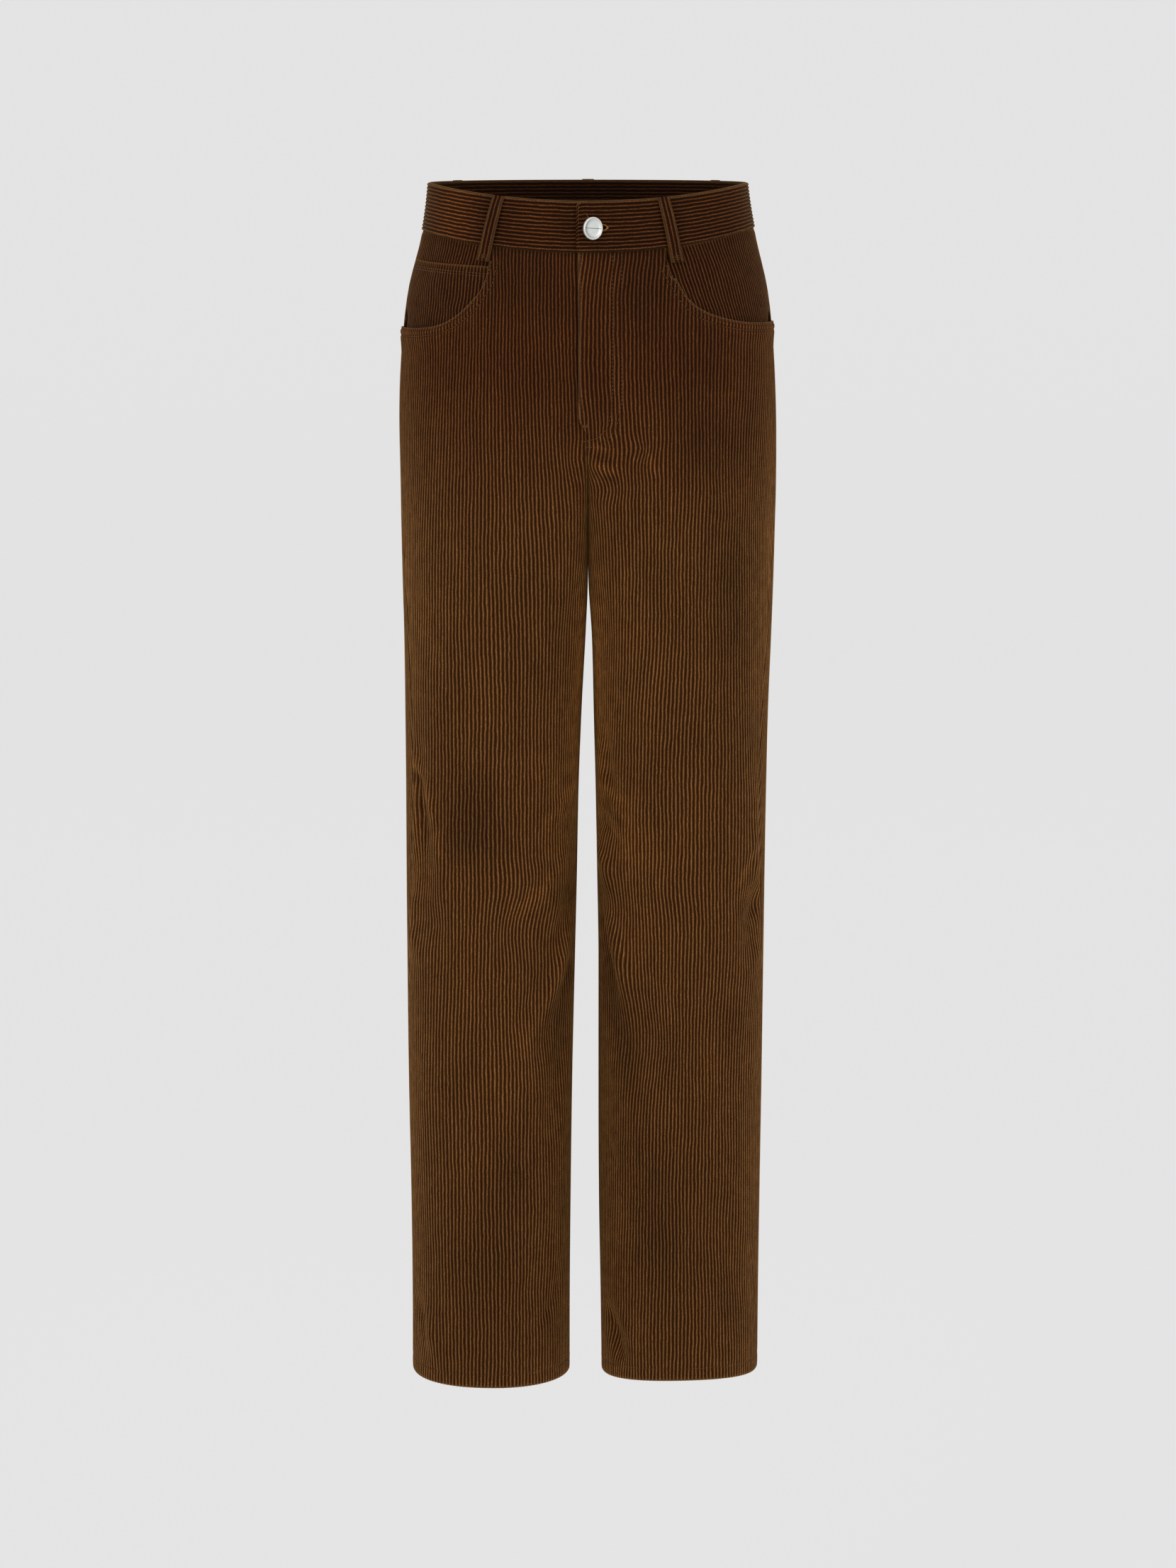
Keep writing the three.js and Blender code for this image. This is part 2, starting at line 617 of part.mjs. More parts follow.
// A belt loop is a strip from the band's top edge to below its seam, standing off the band between.
function beltLoop({ side, around, lean }) {
  const { width, thickness, slot, seat, above, below, steps } = BELT_LOOP;
  const fromFront = around === BACK_MIDDLE ? section(side, BAND_LEVEL).total : around;
  const middle = side === "left" ? fromFront : bandLength() - fromFront;
  const outward = side === "left" ? 1 : -1;
  const place = (i, j, layer) => {
    const v = j / steps;
    const u = middle + (i - 0.5) * width + outward * lean * v;
    const [top, bottom] = [bandPlace(u, 0, 0).z, bandPlace(u, 1, 0).z];
    const z = top + above + (bottom - below - top - above) * v;
    const arch = Math.sin(Math.PI * clamp((v - LOOP_ARCH.from) / LOOP_ARCH.over, 0, 1)) ** LOOP_ARCH.power;
    const off = seat + slot * arch + (1 - layer) * thickness;
    return bandPlace(u, Math.max(0, (top - z) / (top - bottom)), -off);
  };
  return wall(1, steps, place);
}

// A metal shank button: a flat disc with a thin rim, and a stem that tapers to its tack.
function button(stemLength) {
  const { radius, thickness, rim, hollow, edge, stem, tip, segments } = BUTTON;
  const profile = [
    [0, -stemLength],
    [tip, edge - stemLength],
    [stem, stem - stemLength],
    [stem, -2 * edge],
    [radius - edge, 0],
    [radius, edge],
    [radius, thickness - edge],
    [radius - edge, thickness],
    [radius - rim, thickness],
    [radius - rim - hollow, thickness - hollow],
    [0, thickness - hollow],
  ].map(([r, y]) => new THREE.Vector2(r, y));
  return new THREE.LatheGeometry(profile, segments);
}

const trousers = new THREE.Group();

function add(name, geometry, finish) {
  const material = new THREE.MeshStandardMaterial(finish);
  const mesh = new THREE.Mesh(geometry, material);
  mesh.name = name;
  trousers.add(mesh);
  return mesh;
}

// Pieces of the wearer's right side are worked out on +X and turned over to -X.
function mirrored(geometry) {
  const place = geometry.attributes.position;
  for (let i = 0; i < place.count; i += 1) place.setX(i, -place.getX(i));
  const index = geometry.index.array;
  for (let i = 0; i < index.length; i += 3) {
    const kept = index[i];
    index[i] = index[i + 1];
    index[i + 1] = kept;
  }
  return geometry;
}

for (const name of ["front_left", "back_left"]) add(name, panel(name), COLOURS.cloth);
for (const name of ["front_right", "back_right"]) add(name, mirrored(panel(name)), COLOURS.cloth);
add("pocket_facing_left", pocketFacing("left"), COLOURS.cloth);
add("pocket_facing_right", mirrored(pocketFacing("right")), COLOURS.cloth);
add("coin_pocket", mirrored(coinPocket()), COLOURS.cloth);
add("waistband", waistband(), COLOURS.cloth);
for (const row of BELT_LOOPS) add(row.name, beltLoop(row), COLOURS.cloth);

// The button's face is turned to the wearer's left, and its stem ends just over the band's under end.
const turn = THREE.MathUtils.degToRad(BUTTON.turn);
const face = bandPlace(BUTTON.x, 0.5, 0);
const stemLength = (BUTTON.clear + BAND_LIFT - 2 * SEAM_GAP) / Math.cos(turn);
const disc = add("button", button(stemLength), COLOURS.metal);
const seat = new THREE.Group();
seat.position.set(BUTTON.x, face.y - BUTTON.clear, BUTTON.z);
seat.rotation.z = turn;
disc.rotation.x = Math.PI;
seat.add(disc);
trousers.add(seat);

export default trousers;
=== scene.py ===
"""Brown corduroy trousers with nobody in them, filled out and hanging from the waist.

Sizes are in millimetres until a mesh is made, in the frame of the solids: the origin is the middle
of the waist, +Z is up, the front faces -Y and the wearer's left side is +X.
"""

import math
from functools import partial

import bpy
import numpy as np
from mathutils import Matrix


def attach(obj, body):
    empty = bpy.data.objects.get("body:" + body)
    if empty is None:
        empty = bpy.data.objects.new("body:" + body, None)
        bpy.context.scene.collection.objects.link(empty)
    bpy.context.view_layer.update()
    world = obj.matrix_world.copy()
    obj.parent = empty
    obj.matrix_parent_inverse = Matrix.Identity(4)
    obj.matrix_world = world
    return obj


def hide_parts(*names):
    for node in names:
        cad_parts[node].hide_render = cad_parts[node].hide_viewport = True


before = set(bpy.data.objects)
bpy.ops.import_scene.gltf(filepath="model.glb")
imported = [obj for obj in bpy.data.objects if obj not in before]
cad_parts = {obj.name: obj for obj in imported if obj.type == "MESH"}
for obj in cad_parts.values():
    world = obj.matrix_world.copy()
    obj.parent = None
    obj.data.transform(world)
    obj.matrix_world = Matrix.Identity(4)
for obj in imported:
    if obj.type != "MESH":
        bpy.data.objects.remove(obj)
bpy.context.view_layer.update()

MM = 0.001

# The camera stands level with the waist and looks down a little, as in the photograph.
CAMERA = {"place": (0, -4.24, 0.11), "down": 8.7, "lens": 108.65, "sensor": 36}

# Cloth and seams, as in the solids.
CLOTH = 1.8
HALF_GAP = 0.15
HEM_Z = -1083
HEM_DEPTH = 12
HEM_RISE_FROM = -960
HEM_RISE = {"right": (0, 2), "left": (6.5, 3.5)}
HEM_FRONT_Y = -76
CROTCH_Z = -305
WAIST_SIDE_Z = 2.5
WAIST_FRONT_DIP = 13.5
BAND_FRONT_DEPTH = 44.5
BAND_SIDE_DEPTH = {"right": 42.5, "left": 40}
BAND_BACK_DEPTH = 42
BAND_THICKNESS = 2.8
BAND_PROUD = 0.9
BAND_LEVEL = -20
FLY_LAP = 8.5
FLY_END_Z = -200
FLY_FADE = 18
LAP_LIFT = 2.1
LAP_FLAT = 6
LAP_BLEND = 34
LAP_FADE = 30
LAP_TUCK = 0.8
LAP_TUCK_BLEND = 7
UNDERLAP = 26
BAND_LAP = 10.5
BAND_LIFT = 3.1
BAND_BLEND = 70
BAND_CORNER = 6
BAND_FLAT = 14
SEAM_GAP = 0.3

# The cord of the cloth: each wale is a rounded rib of cut pile that stands on a plain weave.
WALE_PITCH = 3.4
WALE_PHASES = (0.0, 0.22, 0.5, 0.78)
WALE_HEIGHT = 0.85
WALE_SUNK = 0.5
SPARE_WALES = 12
# Where the ribs give way: the depth and reach of the roll at an edge and of the grooves that the hem's
# fold and a sewn row press in, the last two rows of the hem, and the cloth between the legs.
EDGE_ROLL = (0.7, 1.4)
HEM_GROOVE = (0.55, 1.2)
SEWN_GROOVE = (0.7, 1.0)
HEM_ROLL = (0.2, 0.9)
HEM_ROWS = 6
FLAT_BETWEEN_LEGS = {"over": 20, "reach": 10}
# Painted highlight along edges and folds: how much lighter the pile is painted there, and how far in
# from the edge that reaches.
EDGE_HIGHLIGHT = {"hem": (1, 0.7), "scoop": (0.5, 0.6), "fly": (0.6, 0.9), "band": (0.6, 0.8), "fold": (0.5, 0.8)}
# Painted shade and light on the pile: how much lighter or darker, in doublings of brightness, and how
# far that reaches. The painted shadow under the waistband, the fly's painted shadow 1 mm off its edge,
# painted shade in a sewn row and a painted highlight 2.2 mm beside it.
BAND_SHADE = (-0.5, 2.5)
BAND_SHADE_FROM = {"z": -72, "over": 12}
FLY_SHADE = {"size": -0.7, "off": 1, "reach": 1.6}
ROW_SHADE = {"in": (-0.5, 0.8), "beside": (0.35, 0.9), "off": 2.2}


def table(names, rows):
    """A table's columns by name, with the rows in rising order of the first column."""
    columns = np.array(sorted(rows), float).T
    return dict(zip(names, columns))


# The leg at each height: how far the outside and inside of each leg lie from the middle, and the
# depths of the section in front and behind.
WIDTHS = table(
    ("z", "right", "left", "inner_right", "inner_left", "front", "back"),
    [
        (20, 141, 140.5, 0, 0, -94, 94),
        (0, 141.7, 141.5, 0, 0, -96, 96),
        (-45, 148, 149, 0, 0, -99, 102),
        (-90, 159.5, 159.5, 0, 0, -103, 113),
        (-130, 165, 164.5, 0, 0, -105, 123),
        (-170, 168, 167.2, 0, 0, -106, 131),
        (-210, 169, 168.6, 0.15, 0.15, -107, 135),
        (-255, 168.3, 168.8, 0.15, 0.15, -108, 132),
        (-305, 167.6, 167.8, 0.2, 0.2, -108, 121),
        (-350, 166.6, 166.6, 0.3, 0.6, -106, 112),
        (-400, 165.4, 164.9, 2.4, 3.6, -101, 104),
        (-470, 164.7, 162.3, 6, 5.3, -92, 93),
        (-540, 164.4, 161, 8.4, 6.8, -83, 85),
        (-620, 164.4, 160, 9.9, 8.2, -77, 77),
        (-700, 164.1, 159.3, 11.8, 9.4, -75, 74),
        (-800, 163.5, 158.4, 14.1, 9.4, -74, 73),
        (-920, 161.7, 157, 15.8, 9.9, -74, 73),
        (-1020, 161.1, 156.1, 16.7, 11.6, -75, 74),
        (-1100, 161.4, 155.9, 16.8, 12.4, -76, 75),
    ],
)

# How the section is shaped: where the front and back stand out furthest as a share of the way out,
# the share of the inner side that is rounded off, the depth of the inseam and of the outermost line,
# and how far the side seam lies in front of that line.
SHAPES = table(
    ("z", "peak_front", "round_front", "peak_back", "round_back", "seam", "side", "side_seam"),
    [
        (20, 0, 0, 0, 0, 15, 0, 4),
        (-60, 0, 0, 0, 0, 15, 2, 6),
        (-120, 0, 0, 0.12, 0.01, 15, 6, 8),
        (-170, 0, 0, 0.28, 0.05, 15, 10, 10),
        (-222, 0, 0, 0.35, 0.12, 15, 12, 13),
        (-255, 0.16, 0.12, 0.38, 0.21, 15, 12, 19),
        (-305, 0.3, 0.33, 0.42, 0.4, 15, 10, 30),
        (-350, 0.38, 0.5, 0.45, 0.55, 12, 6, 40),
        (-400, 0.44, 0.68, 0.47, 0.7, 8, 4, 44),
        (-470, 0.49, 0.88, 0.5, 0.88, 4, 1, 46),
        (-540, 0.5, 1, 0.5, 1, 2, 0, 42),
        (-640, 0.5, 1, 0.5, 1, 0, 0, 30),
        (-760, 0.5, 1, 0.5, 1, 0, 0, 16),
        (-900, 0.5, 1, 0.5, 1, 0, 0, 10),
        (-1100, 0.5, 1, 0.5, 1, 0, 0, 8),
    ],
)
POWER = {"front_inner": 2.1, "front_outer": 2.3, "back_outer": 2.1, "back_inner": 2.1}
RISE_FRONT = {"top_z": -224, "top_y": -107}
RISE_BACK = {"top_z": -195, "top_y": 135}

# The scoop of each front pocket, from the waistband out to the side seam.
SCOOPS = {
    "right": table(("x", "z"), [
        (84.5, -50), (86, -63), (91, -82), (101.5, -97.5),
        (116, -111.5), (130, -119.5), (146, -123.5), (168, -125),
    ]),
    "left": table(("x", "z"), [
        (67.5, -44), (69.5, -66), (78, -80), (86, -93.5),
        (96.5, -103.5), (108, -109.5), (131, -116.5), (168, -120),
    ]),
}
# How the front stands off at a pocket's mouth towards the side seam.
GAPE = {"height": 3, "reach": 28, "from_x": 112, "over": 40, "at_seam": 6, "from_seam": 14}
# What lies behind the scoops. Slant is how far their wales lean for each millimetre down,
# and forward how far they come forward at the side seam, below and above the coin pocket's top.
FACING = {
    "thickness": 1.5, "under": 14, "top_z": -60.0, "bottom_z": -140,
    "depth": {"right": 4.1, "left": 2.3}, "slant": {"right": 0.1, "left": 0.25},
    "forward": {"right": (2.3, 3.7), "left": (2.1, 2.1)},
}
COIN = {
    "thickness": 1.2, "depth": 2.5, "inner_x": 84, "top_z": -64, "inner_drop": 4, "height": 70,
    "slant": 0.0, "forward": (2.3, 2.3), "clear": 0.6, "row_end_x": 158, "drop_x": 150, "drop_over": 66,
}
FORWARD = {"from_seam": 46, "over": 40, "above_z": -119, "over_z": 16, "coin_z": -70, "coin_over": 8}
POCKET_WALES = {"height": 0.6, "from_z": -100, "wave": 0.5, "down": 7, "across": 19}
COIN_FOLDS = [(26, -112, 66, -92, 5, 1.1), (50, -118, 78, -84, 4, -0.8), (70, -76, 78, -100, 5, 0.6)]

# Folds fade out near the seams, the waistband and the hem, and towards their own ends.
HELD = {"at_seam": 14, "top_z": -60, "over_top": 60, "below_hem": 40, "over_hem": 60}
FOLD_ENDS = {"over": 1.1, "least": 0.15}
# Folds (a0, z0, a1, z1, width, height): each a soft ridge, or a trough where height is under 0, from
# one point to another. a is the distance along the cloth from the middle line of its panel, more
# towards the outside.
FOLDS = {
    "front_right": [
        (-88, -655, -24, -800, 13, 4.5),
        (-104, -620, -60, -690, 12, -4.5),
        (-84, -740, -58, -870, 14, -3.5),
        (84, -470, 62, -640, 12, -3.5),
        (72, -600, 96, -690, 10, 3),
        (74, -1000, 92, -1060, 12, -3.5),
        (-60, -930, -20, -1035, 16, -2),
        (10, -480, -14, -600, 22, 2),
    ],
    "front_left": [
        (-98, -560, -52, -735, 13, 4),
        (-100, -640, -66, -770, 12, -4),
        (-94, -470, -78, -560, 11, -3.5),
        (82, -600, 66, -700, 12, -3.5),
        (92, -520, 82, -610, 11, 3),
        (-86, -1020, -52, -1062, 12, -3.5),
        (30, -900, 62, -1010, 16, -2),
        (12, -255, 46, -300, 16, 2),
    ],
    "back_right": [
        (-76, -320, 12, -372, 15, -5),
        (-92, -362, -10, -420, 13, -3.5),
        (-70, -600, 40, -640, 14, -4),
        (-52, -660, 62, -676, 15, 3),
        (-66, -720, 30, -760, 14, -3),
        (40, -980, 76, -1050, 14, -3),
        (20, -250, 60, -330, 18, -2.5),
    ],
    "back_left": [
        (-80, -312, 2, -360, 14, -4.5),
        (-88, -350, -22, -398, 13, -4),
        (-74, -622, 32, -646, 13, -3.5),
        (-40, -586, 70, -610, 14, 3),
        (-60, -700, 44, -724, 14, -3.5),
        (-72, -990, -40, -1056, 13, -3),
        (30, -262, 66, -345, 17, -2.5),
    ],
}

# How the grain runs at each height: how far it has shifted outwards, and how wide the wales lie there
# beside their own pitch, as the cloth is spread or pushed together.
GRAIN = {
    "front_right": table(("z", "shift", "close"), [
        (-45, 10.5, 0.94), (-90, 4.5, 0.92), (-150, 1, 0.93), (-224, 0, 0.98), (-330, 0, 1.06),
        (-470, -3, 1.06), (-560, -4, 1.05), (-660, -2, 1.0), (-800, -3, 1.05), (-1083, -4, 1.0),
    ]),
    "front_left": table(("z", "shift", "close"), [
        (-45, 10.5, 1.0), (-90, 4.5, 1.05), (-150, 1, 1.06), (-224, 0, 1.0), (-330, 0, 0.95),
        (-470, -3, 1.0), (-560, -4, 1.05), (-660, -2, 0.98), (-800, -3, 0.92), (-1083, -4, 0.97),
    ]),
    "back_right": table(("z", "shift", "close"), [
        (-45, -10, 0.97), (-250, -2, 1), (-420, 0, 1.04),
        (-600, -3, 1), (-700, -4, 0.96), (-1083, -4, 1),
    ]),
    "back_left": table(("z", "shift", "close"), [
        (-45, -10, 1), (-250, -2, 1.03), (-420, 0, 1),
        (-600, -3, 1.02), (-700, -4, 0.95), (-1083, -4, 1),
    ]),
}
# Places where the wales bend aside: the middle of the bend, its reach along and down the cloth, and
# how far it pushes them outwards.
BENDS = {
    "front_right": [
        (92, -548, 22, 30, 5), (84, -618, 24, 24, -6), (96, -692, 20, 30, 4), (66, -655, 22, 16, -3),
        (-20, -620, 26, 24, -4), (-30, -662, 28, 22, 3), (-74, -636, 28, 34, -9),
        (-60, -748, 30, 40, 9), (-86, -560, 22, 20, 4), (-78, -236, 10, 14, 2), (84, -1035, 20, 18, 4),
        (-50, -1000, 22, 20, 2), (96, -420, 20, 50, 4),
    ],
    "front_left": [
        (88, -598, 20, 20, 6.5), (84, -640, 20, 16, -6), (84, -700, 20, 24, 3), (96, -520, 18, 30, -3),
        (-92, -515, 24, 34, -9), (-92, -562, 22, 14, 5), (-90, -612, 24, 16, -8),
        (-84, -645, 22, 14, 4), (-78, -702, 26, 34, -7), (-40, -760, 26, 36, 5),
        (0, -620, 34, 26, -2.5), (-78, -241, 20, 9, -2.8), (-74, -262, 20, 9, 3), (-62, -251, 9, 6, 1),
        (-66, -212, 9, 7, -1.8), (-44, -226, 10, 9, 2.4), (-30, -240, 10, 10, -2.2),
        (-70, -1040, 18, 20, 3),
    ],
    "back_right": [
        (-50, -350, 26, 22, 7), (0, -640, 34, 20, 7), (10, -690, 34, 18, -6), (60, -560, 24, 30, -4),
    ],
    "back_left": [
        (-52, -345, 26, 22, 7), (0, -620, 34, 20, 7), (6, -674, 34, 18, -6), (56, -570, 24, 30, -4),
    ],
}
# Slight waves all over: size, length across and down the cloth, and turn. Each panel's turn is further
# on than the last one's.
WAVES = [(0.5, 131, 190, 0.1), (0.22, -67, 97, 0.6), (0.12, 31, 43, 0.3)]
WAVE_TURN = 0.37

# Narrower creases over the folds, in the same terms.
CREASES = {
    "front_right": [
        (98, -514, 76, -536, 6.5, -2.6), (76, -536, 62, -596, 6.5, -2.6), (94, -504, 67, -525, 6, 2.2),
        (67, -525, 53, -565, 6, 2.6), (53, -565, 42, -640, 6.5, 2), (54, -640, 46, -700, 7.5, -1.2),
        (90, -462, 82, -496, 7.5, 1.2), (104, -606, 72, -638, 7.5, -1.8),
        (100, -650, 66, -700, 7.5, 1.4), (-106, -528, -60, -560, 8, 2.2),
        (-88, -590, -24, -648, 8, 1.8), (-104, -612, -72, -648, 7.5, -2.4),
        (-90, -665, -31, -760, 7.5, 2.2), (-100, -686, -70, -730, 7.5, -2.4),
        (-70, -730, -30, -800, 7.5, -1.6), (-60, -590, -10, -640, 7.5, 1.3),
        (-66, -606, -6, -660, 7.5, -1.4), (-66, -470, -40, -560, 10, 1),
        (86, -1012, 66, -1066, 7, -2.8), (70, -1000, 52, -1060, 7, 1.8),
        (-84, -980, -40, -1040, 7, -1.6), (30, -420, 18, -520, 16, -1), (-20, -820, -6, -950, 14, -1),
        (40, -850, 52, -960, 12, 1), (-90, -330, -66, -420, 9, -1.4), (26, -295, -52, -459, 9, -1.3),
    ],
    "front_left": [
        (-102, -520, -62, -560, 7.5, 2.1), (-104, -556, -58, -588, 7.5, -2.2),
        (-104, -588, -66, -616, 7.5, 2.1), (-102, -616, -70, -640, 7.5, -2.1),
        (-100, -640, -60, -740, 7.5, -2.7), (-60, -740, -34, -830, 8, -1.9),
        (-84, -640, -46, -730, 7.5, 1.9), (100, -580, 62, -612, 7.5, -2.1),
        (102, -600, 64, -632, 7.5, 2.1), (104, -628, 60, -660, 7.5, -1.9),
        (100, -664, 76, -704, 7.5, 1.6), (90, -740, 70, -800, 8, 1.3),
        (-90, -470, -72, -540, 7.5, -1.4), (-84, -1010, -60, -1064, 7, -2.8),
        (-70, -1004, -44, -1050, 7, 1.8), (74, -960, 92, -1040, 8, -1.6),
        (-86, -226, -56, -232, 5.5, 1.1), (-84, -234, -54, -241, 5.5, -1.2),
        (-82, -243, -52, -251, 5.5, 1.1), (-76, -254, -48, -263, 5.5, -1.1),
        (-44, -222, -30, -248, 5.5, 1), (-28, -226, -16, -264, 6.5, -1),
        (-70, -266, -54, -282, 6.5, 0.8), (-10, -420, 4, -540, 16, -1), (20, -800, 8, -930, 14, 1),
        (-84, -330, -70, -430, 9, -1.4),
    ],
    "back_right": [
        (-86, -306, -20, -344, 6, -2.4), (-92, -330, -10, -352, 6, 2), (-96, -380, -30, -440, 7, -2),
        (-80, -590, 10, -622, 7.5, -1.9), (-30, -628, 66, -650, 7.5, 1.8),
        (-70, -680, 20, -700, 7.5, -1.8), (-60, -720, 30, -742, 7.5, 1.4), (50, -990, 70, -1060, 7, -2),
        (60, -220, 96, -330, 10, 1.2),
    ],
    "back_left": [
        (-88, -300, -24, -336, 6, -2.4), (-94, -324, -14, -346, 6, 2), (-90, -372, -34, -430, 7, -2),
        (-78, -576, 6, -606, 7.5, -1.9), (-26, -612, 70, -632, 7.5, 1.8),
        (-68, -660, 26, -684, 7.5, -1.8), (-56, -706, 32, -724, 7.5, 1.4),
        (-64, -984, -46, -1056, 7, -2), (58, -230, 92, -340, 10, 1.2),
    ],
}

# Soft patches of painted light and shade on the pile, in the same terms: painted shade in the fold
# troughs, recesses, below the waistband and low on the legs, painted highlights on the fold ridges and
# along the legs' edges, partly where the pile lies another way. height is how much lighter or darker
# it looks, in doublings of brightness.
LAY_AND_SHADE = {
    "front_right": [
        (10, -500, 22, -606, 30, -0.5), (38, -480, 40, -530, 16, -0.15),
        (26, -295, -52, -459, 7, -0.15), (-66, -420, -74, -540, 32, 0.22),
        (-98, -330, -112, -620, 22, 0.75), (-62, -500, -66, -610, 16, 0.3),
        (-24, -300, -20, -370, 20, -0.18), (-67, -195, -64, -225, 7, -0.35),
        (-80, -700, -60, -800, 12, -0.45), (-17, -740, -20, -820, 24, 0.12),
        (88, -490, 84, -640, 16, 0.2), (-8, -860, 4, -1083, 38, -0.28),
        (-13, -840, -10, -910, 13, -0.22), (112, -150, 118, -1080, 16, 0.35),
        (-112, -820, -116, -1080, 14, 0.45), (-70, -62, 70, -62, 42, -0.42),
        (-66, -70, -56, -130, 16, -0.2), (66, -940, 60, -1010, 14, -0.15),
        (75, -540, 58, -596, 5, -0.3), (88, -470, 71, -524, 3.4, -0.2),
        (-88, -625, -96, -645, 10, -0.5), (-92, -700, -98, -725, 10, -0.5),
        (-90, -663, -33, -756, 3.4, 0.35), (-92, -680, -38, -775, 5, -0.35),
        (118, -500, 116, -580, 8, -0.5), (-60, -620, -10, -650, 8, 0.15),
        (-104, -330, -108, -470, 14, 0.3), (108, -500, 110, -560, 12, -0.35),
        (94, -507, 67, -525, 3.5, 0.55), (67, -525, 53, -565, 3.6, 0.6), (53, -565, 44, -602, 4, 0.45),
        (98, -514, 72, -534, 3.5, -0.55), (-108, -524, -68, -552, 7, 0.45),
        (-68, -552, -42, -585, 7, 0.35), (-88, -590, -20, -650, 6, 0.3),
        (-104, -610, -60, -640, 5, -0.55), (20, -487, -70, -487, 10, -0.2),
        (-30, -860, -26, -930, 14, -0.3), (116, -500, 118, -590, 8, -0.4),
    ],
    "front_left": [
        (24, -120, 30, -180, 38, -0.12), (24, -190, 40, -262, 36, -0.38),
        (-75, -230, -72, -258, 11, 0.3), (44, -270, 42, -470, 20, -0.42),
        (112, -200, 120, -760, 18, 0.6), (-84, -310, -90, -640, 34, 0.42),
        (-100, -300, -110, -640, 18, 0.65), (-48, -530, -44, -620, 22, 0.3),
        (-100, -625, -40, -830, 12, -0.65), (-40, -830, -15, -1010, 24, -0.28),
        (-16, -690, -10, -740, 24, 0.12), (-8, -750, -4, -830, 20, -0.18),
        (38, -722, 56, -775, 12, -0.22), (48, -990, 52, -1030, 12, -0.3),
        (-112, -960, -116, -1080, 14, 0.45), (112, -800, 118, -960, 14, 0.4),
        (112, -990, 116, -1030, 10, -0.4), (-70, -62, 70, -62, 42, -0.42),
        (-40, -70, -30, -150, 18, -0.2), (-84, -232, -60, -240, 3, -0.5),
        (-80, -248, -56, -256, 3, -0.5), (-84, -224, -58, -229, 2.6, 0.5),
        (-82, -240, -58, -247, 2.6, 0.5), (-36, -225, -26, -250, 3, 0.5), (70, -600, 96, -588, 6, 0.3),
        (66, -640, 98, -628, 6, 0.3), (0, -860, 8, -1083, 34, -0.2), (-104, -330, -108, -470, 14, 0.3),
        (98, -1030, 104, -1080, 14, -0.4), (-24, -310, -24, -360, 18, -0.15),
        (-98, -530, -42, -552, 5, 0.4), (-92, -560, -44, -590, 5, 0.3),
        (-98, -545, -50, -570, 4, -0.25), (-98, -616, -60, -634, 6, -0.35),
        (82, -590, 45, -628, 5, 0.45), (86, -578, 52, -612, 4, -0.35), (66, -640, 62, -656, 12, -0.3),
        (76, -510, 70, -556, 10, 0.25),
    ],
    "back_right": [
        (0, -100, 30, -240, 50, -0.25), (-60, -340, -20, -420, 26, -0.3), (0, -560, 10, -640, 30, -0.4),
        (20, -700, -10, -860, 26, 0.15), (96, -200, 110, -1060, 22, 0.4),
        (-104, -400, -112, -1060, 20, 0.4), (0, -880, 6, -1083, 36, -0.25),
        (-80, -590, 10, -622, 5, -0.4), (-30, -628, 66, -650, 5, 0.3), (-70, -680, 20, -700, 5, -0.4),
        (-86, -306, -20, -344, 5, -0.35), (-92, -330, -10, -352, 5, 0.25),
    ],
    "back_left": [
        (6, -110, 34, -250, 48, -0.3), (-56, -330, -24, -410, 26, -0.28), (4, -540, 0, -628, 32, -0.4),
        (16, -690, -14, -840, 26, 0.15), (96, -220, 110, -1060, 22, 0.4),
        (-104, -390, -112, -1060, 20, 0.4), (-6, -870, 4, -1083, 36, -0.25),
        (-78, -576, 6, -606, 5, -0.4), (-26, -612, 70, -632, 5, 0.3), (-68, -660, 26, -684, 5, -0.4),
        (-88, -300, -24, -336, 5, -0.35), (-94, -324, -14, -346, 5, 0.25),
    ],
}

# Lines sewn through the front panels, by distance from the middle and height.
FLY_ROWS = [
    [(21.3, -58), (21.3, -181), (20, -196), (16.5, -208.5), (9, -216.5), (0, -219.2), (-6, -219.4)],
    [(29.3, -57), (29.3, -181), (28, -197), (23, -211), (15.2, -220.6), (9, -224.4), (-4, -225)],
]
SCOOP_ROWS = (1.9, 7.4)
SCOOP_ROWS_TOP = -56
SCOOP_ROWS_END_X = 166
COIN_ROWS = (6.8, 9)
ROW_UNDER = {"panel": 0.25, "band": 0.1, "fly": -0.1, "coin": 0.3}
HEM_ROW_INSET = 0.6
BAND_ROWS = {"inset": 2.0, "shares": (0.045, 0.955), "end": (0.06, 0.95)}
FLY_EDGE = {"x": -6.4, "from_z": -57, "to_z": -205}
FLY_TACK = {"x": (-5.6, 1.2), "rows_z": (-205.4, -206.2, -207.0)}

# Seam allowances pressed open inside: behind the rise, and behind the side seams and inseams.
ALLOWANCE = {"half": 8, "off": 2.3, "thickness": 0.6}
STRIP = {
    "half": 5, "off": 3.0, "in_hem": 4.6, "thickness": 0.5, "above_hem": 7, "over_hem": 14, "over": 8,
    "step": 5.0, "top_z": {"side": -52.0, "inner": CROTCH_Z - 8.0},
}

PANELS = ("front_right", "front_left", "back_right", "back_left")
# Size of each piece as cut, in metres: width and length.
SEAM_CUTS = {"rise": (0.016, 0.77), "side": (0.010, 1.03), "inner": (0.010, 0.77)}

# A pale round floor that sweeps up all round, in metres: radius and height above the floor.
FLOOR_Z = -1.5
SWEEP = [(1.0, 0), (5.2, 0), (6.0, 0.06), (6.6, 0.24), (7.0, 0.55), (7.2, 0.95), (7.3, 1.5), (7.3, 5.5)]

ROW_STEP = 4.6
TOP_ROWS = 26
# The rows of a panel's grid: from one height to the next, at a share of the step.
ROW_STRETCHES = [
    (-150, -222, 1), (-222, -290, 0.8), (-290, -302, 0.5), (-302, CROTCH_Z, 0.2),
    (CROTCH_Z, -340, 0.8), (-340, HEM_Z + HEM_DEPTH + 4, 1),
]


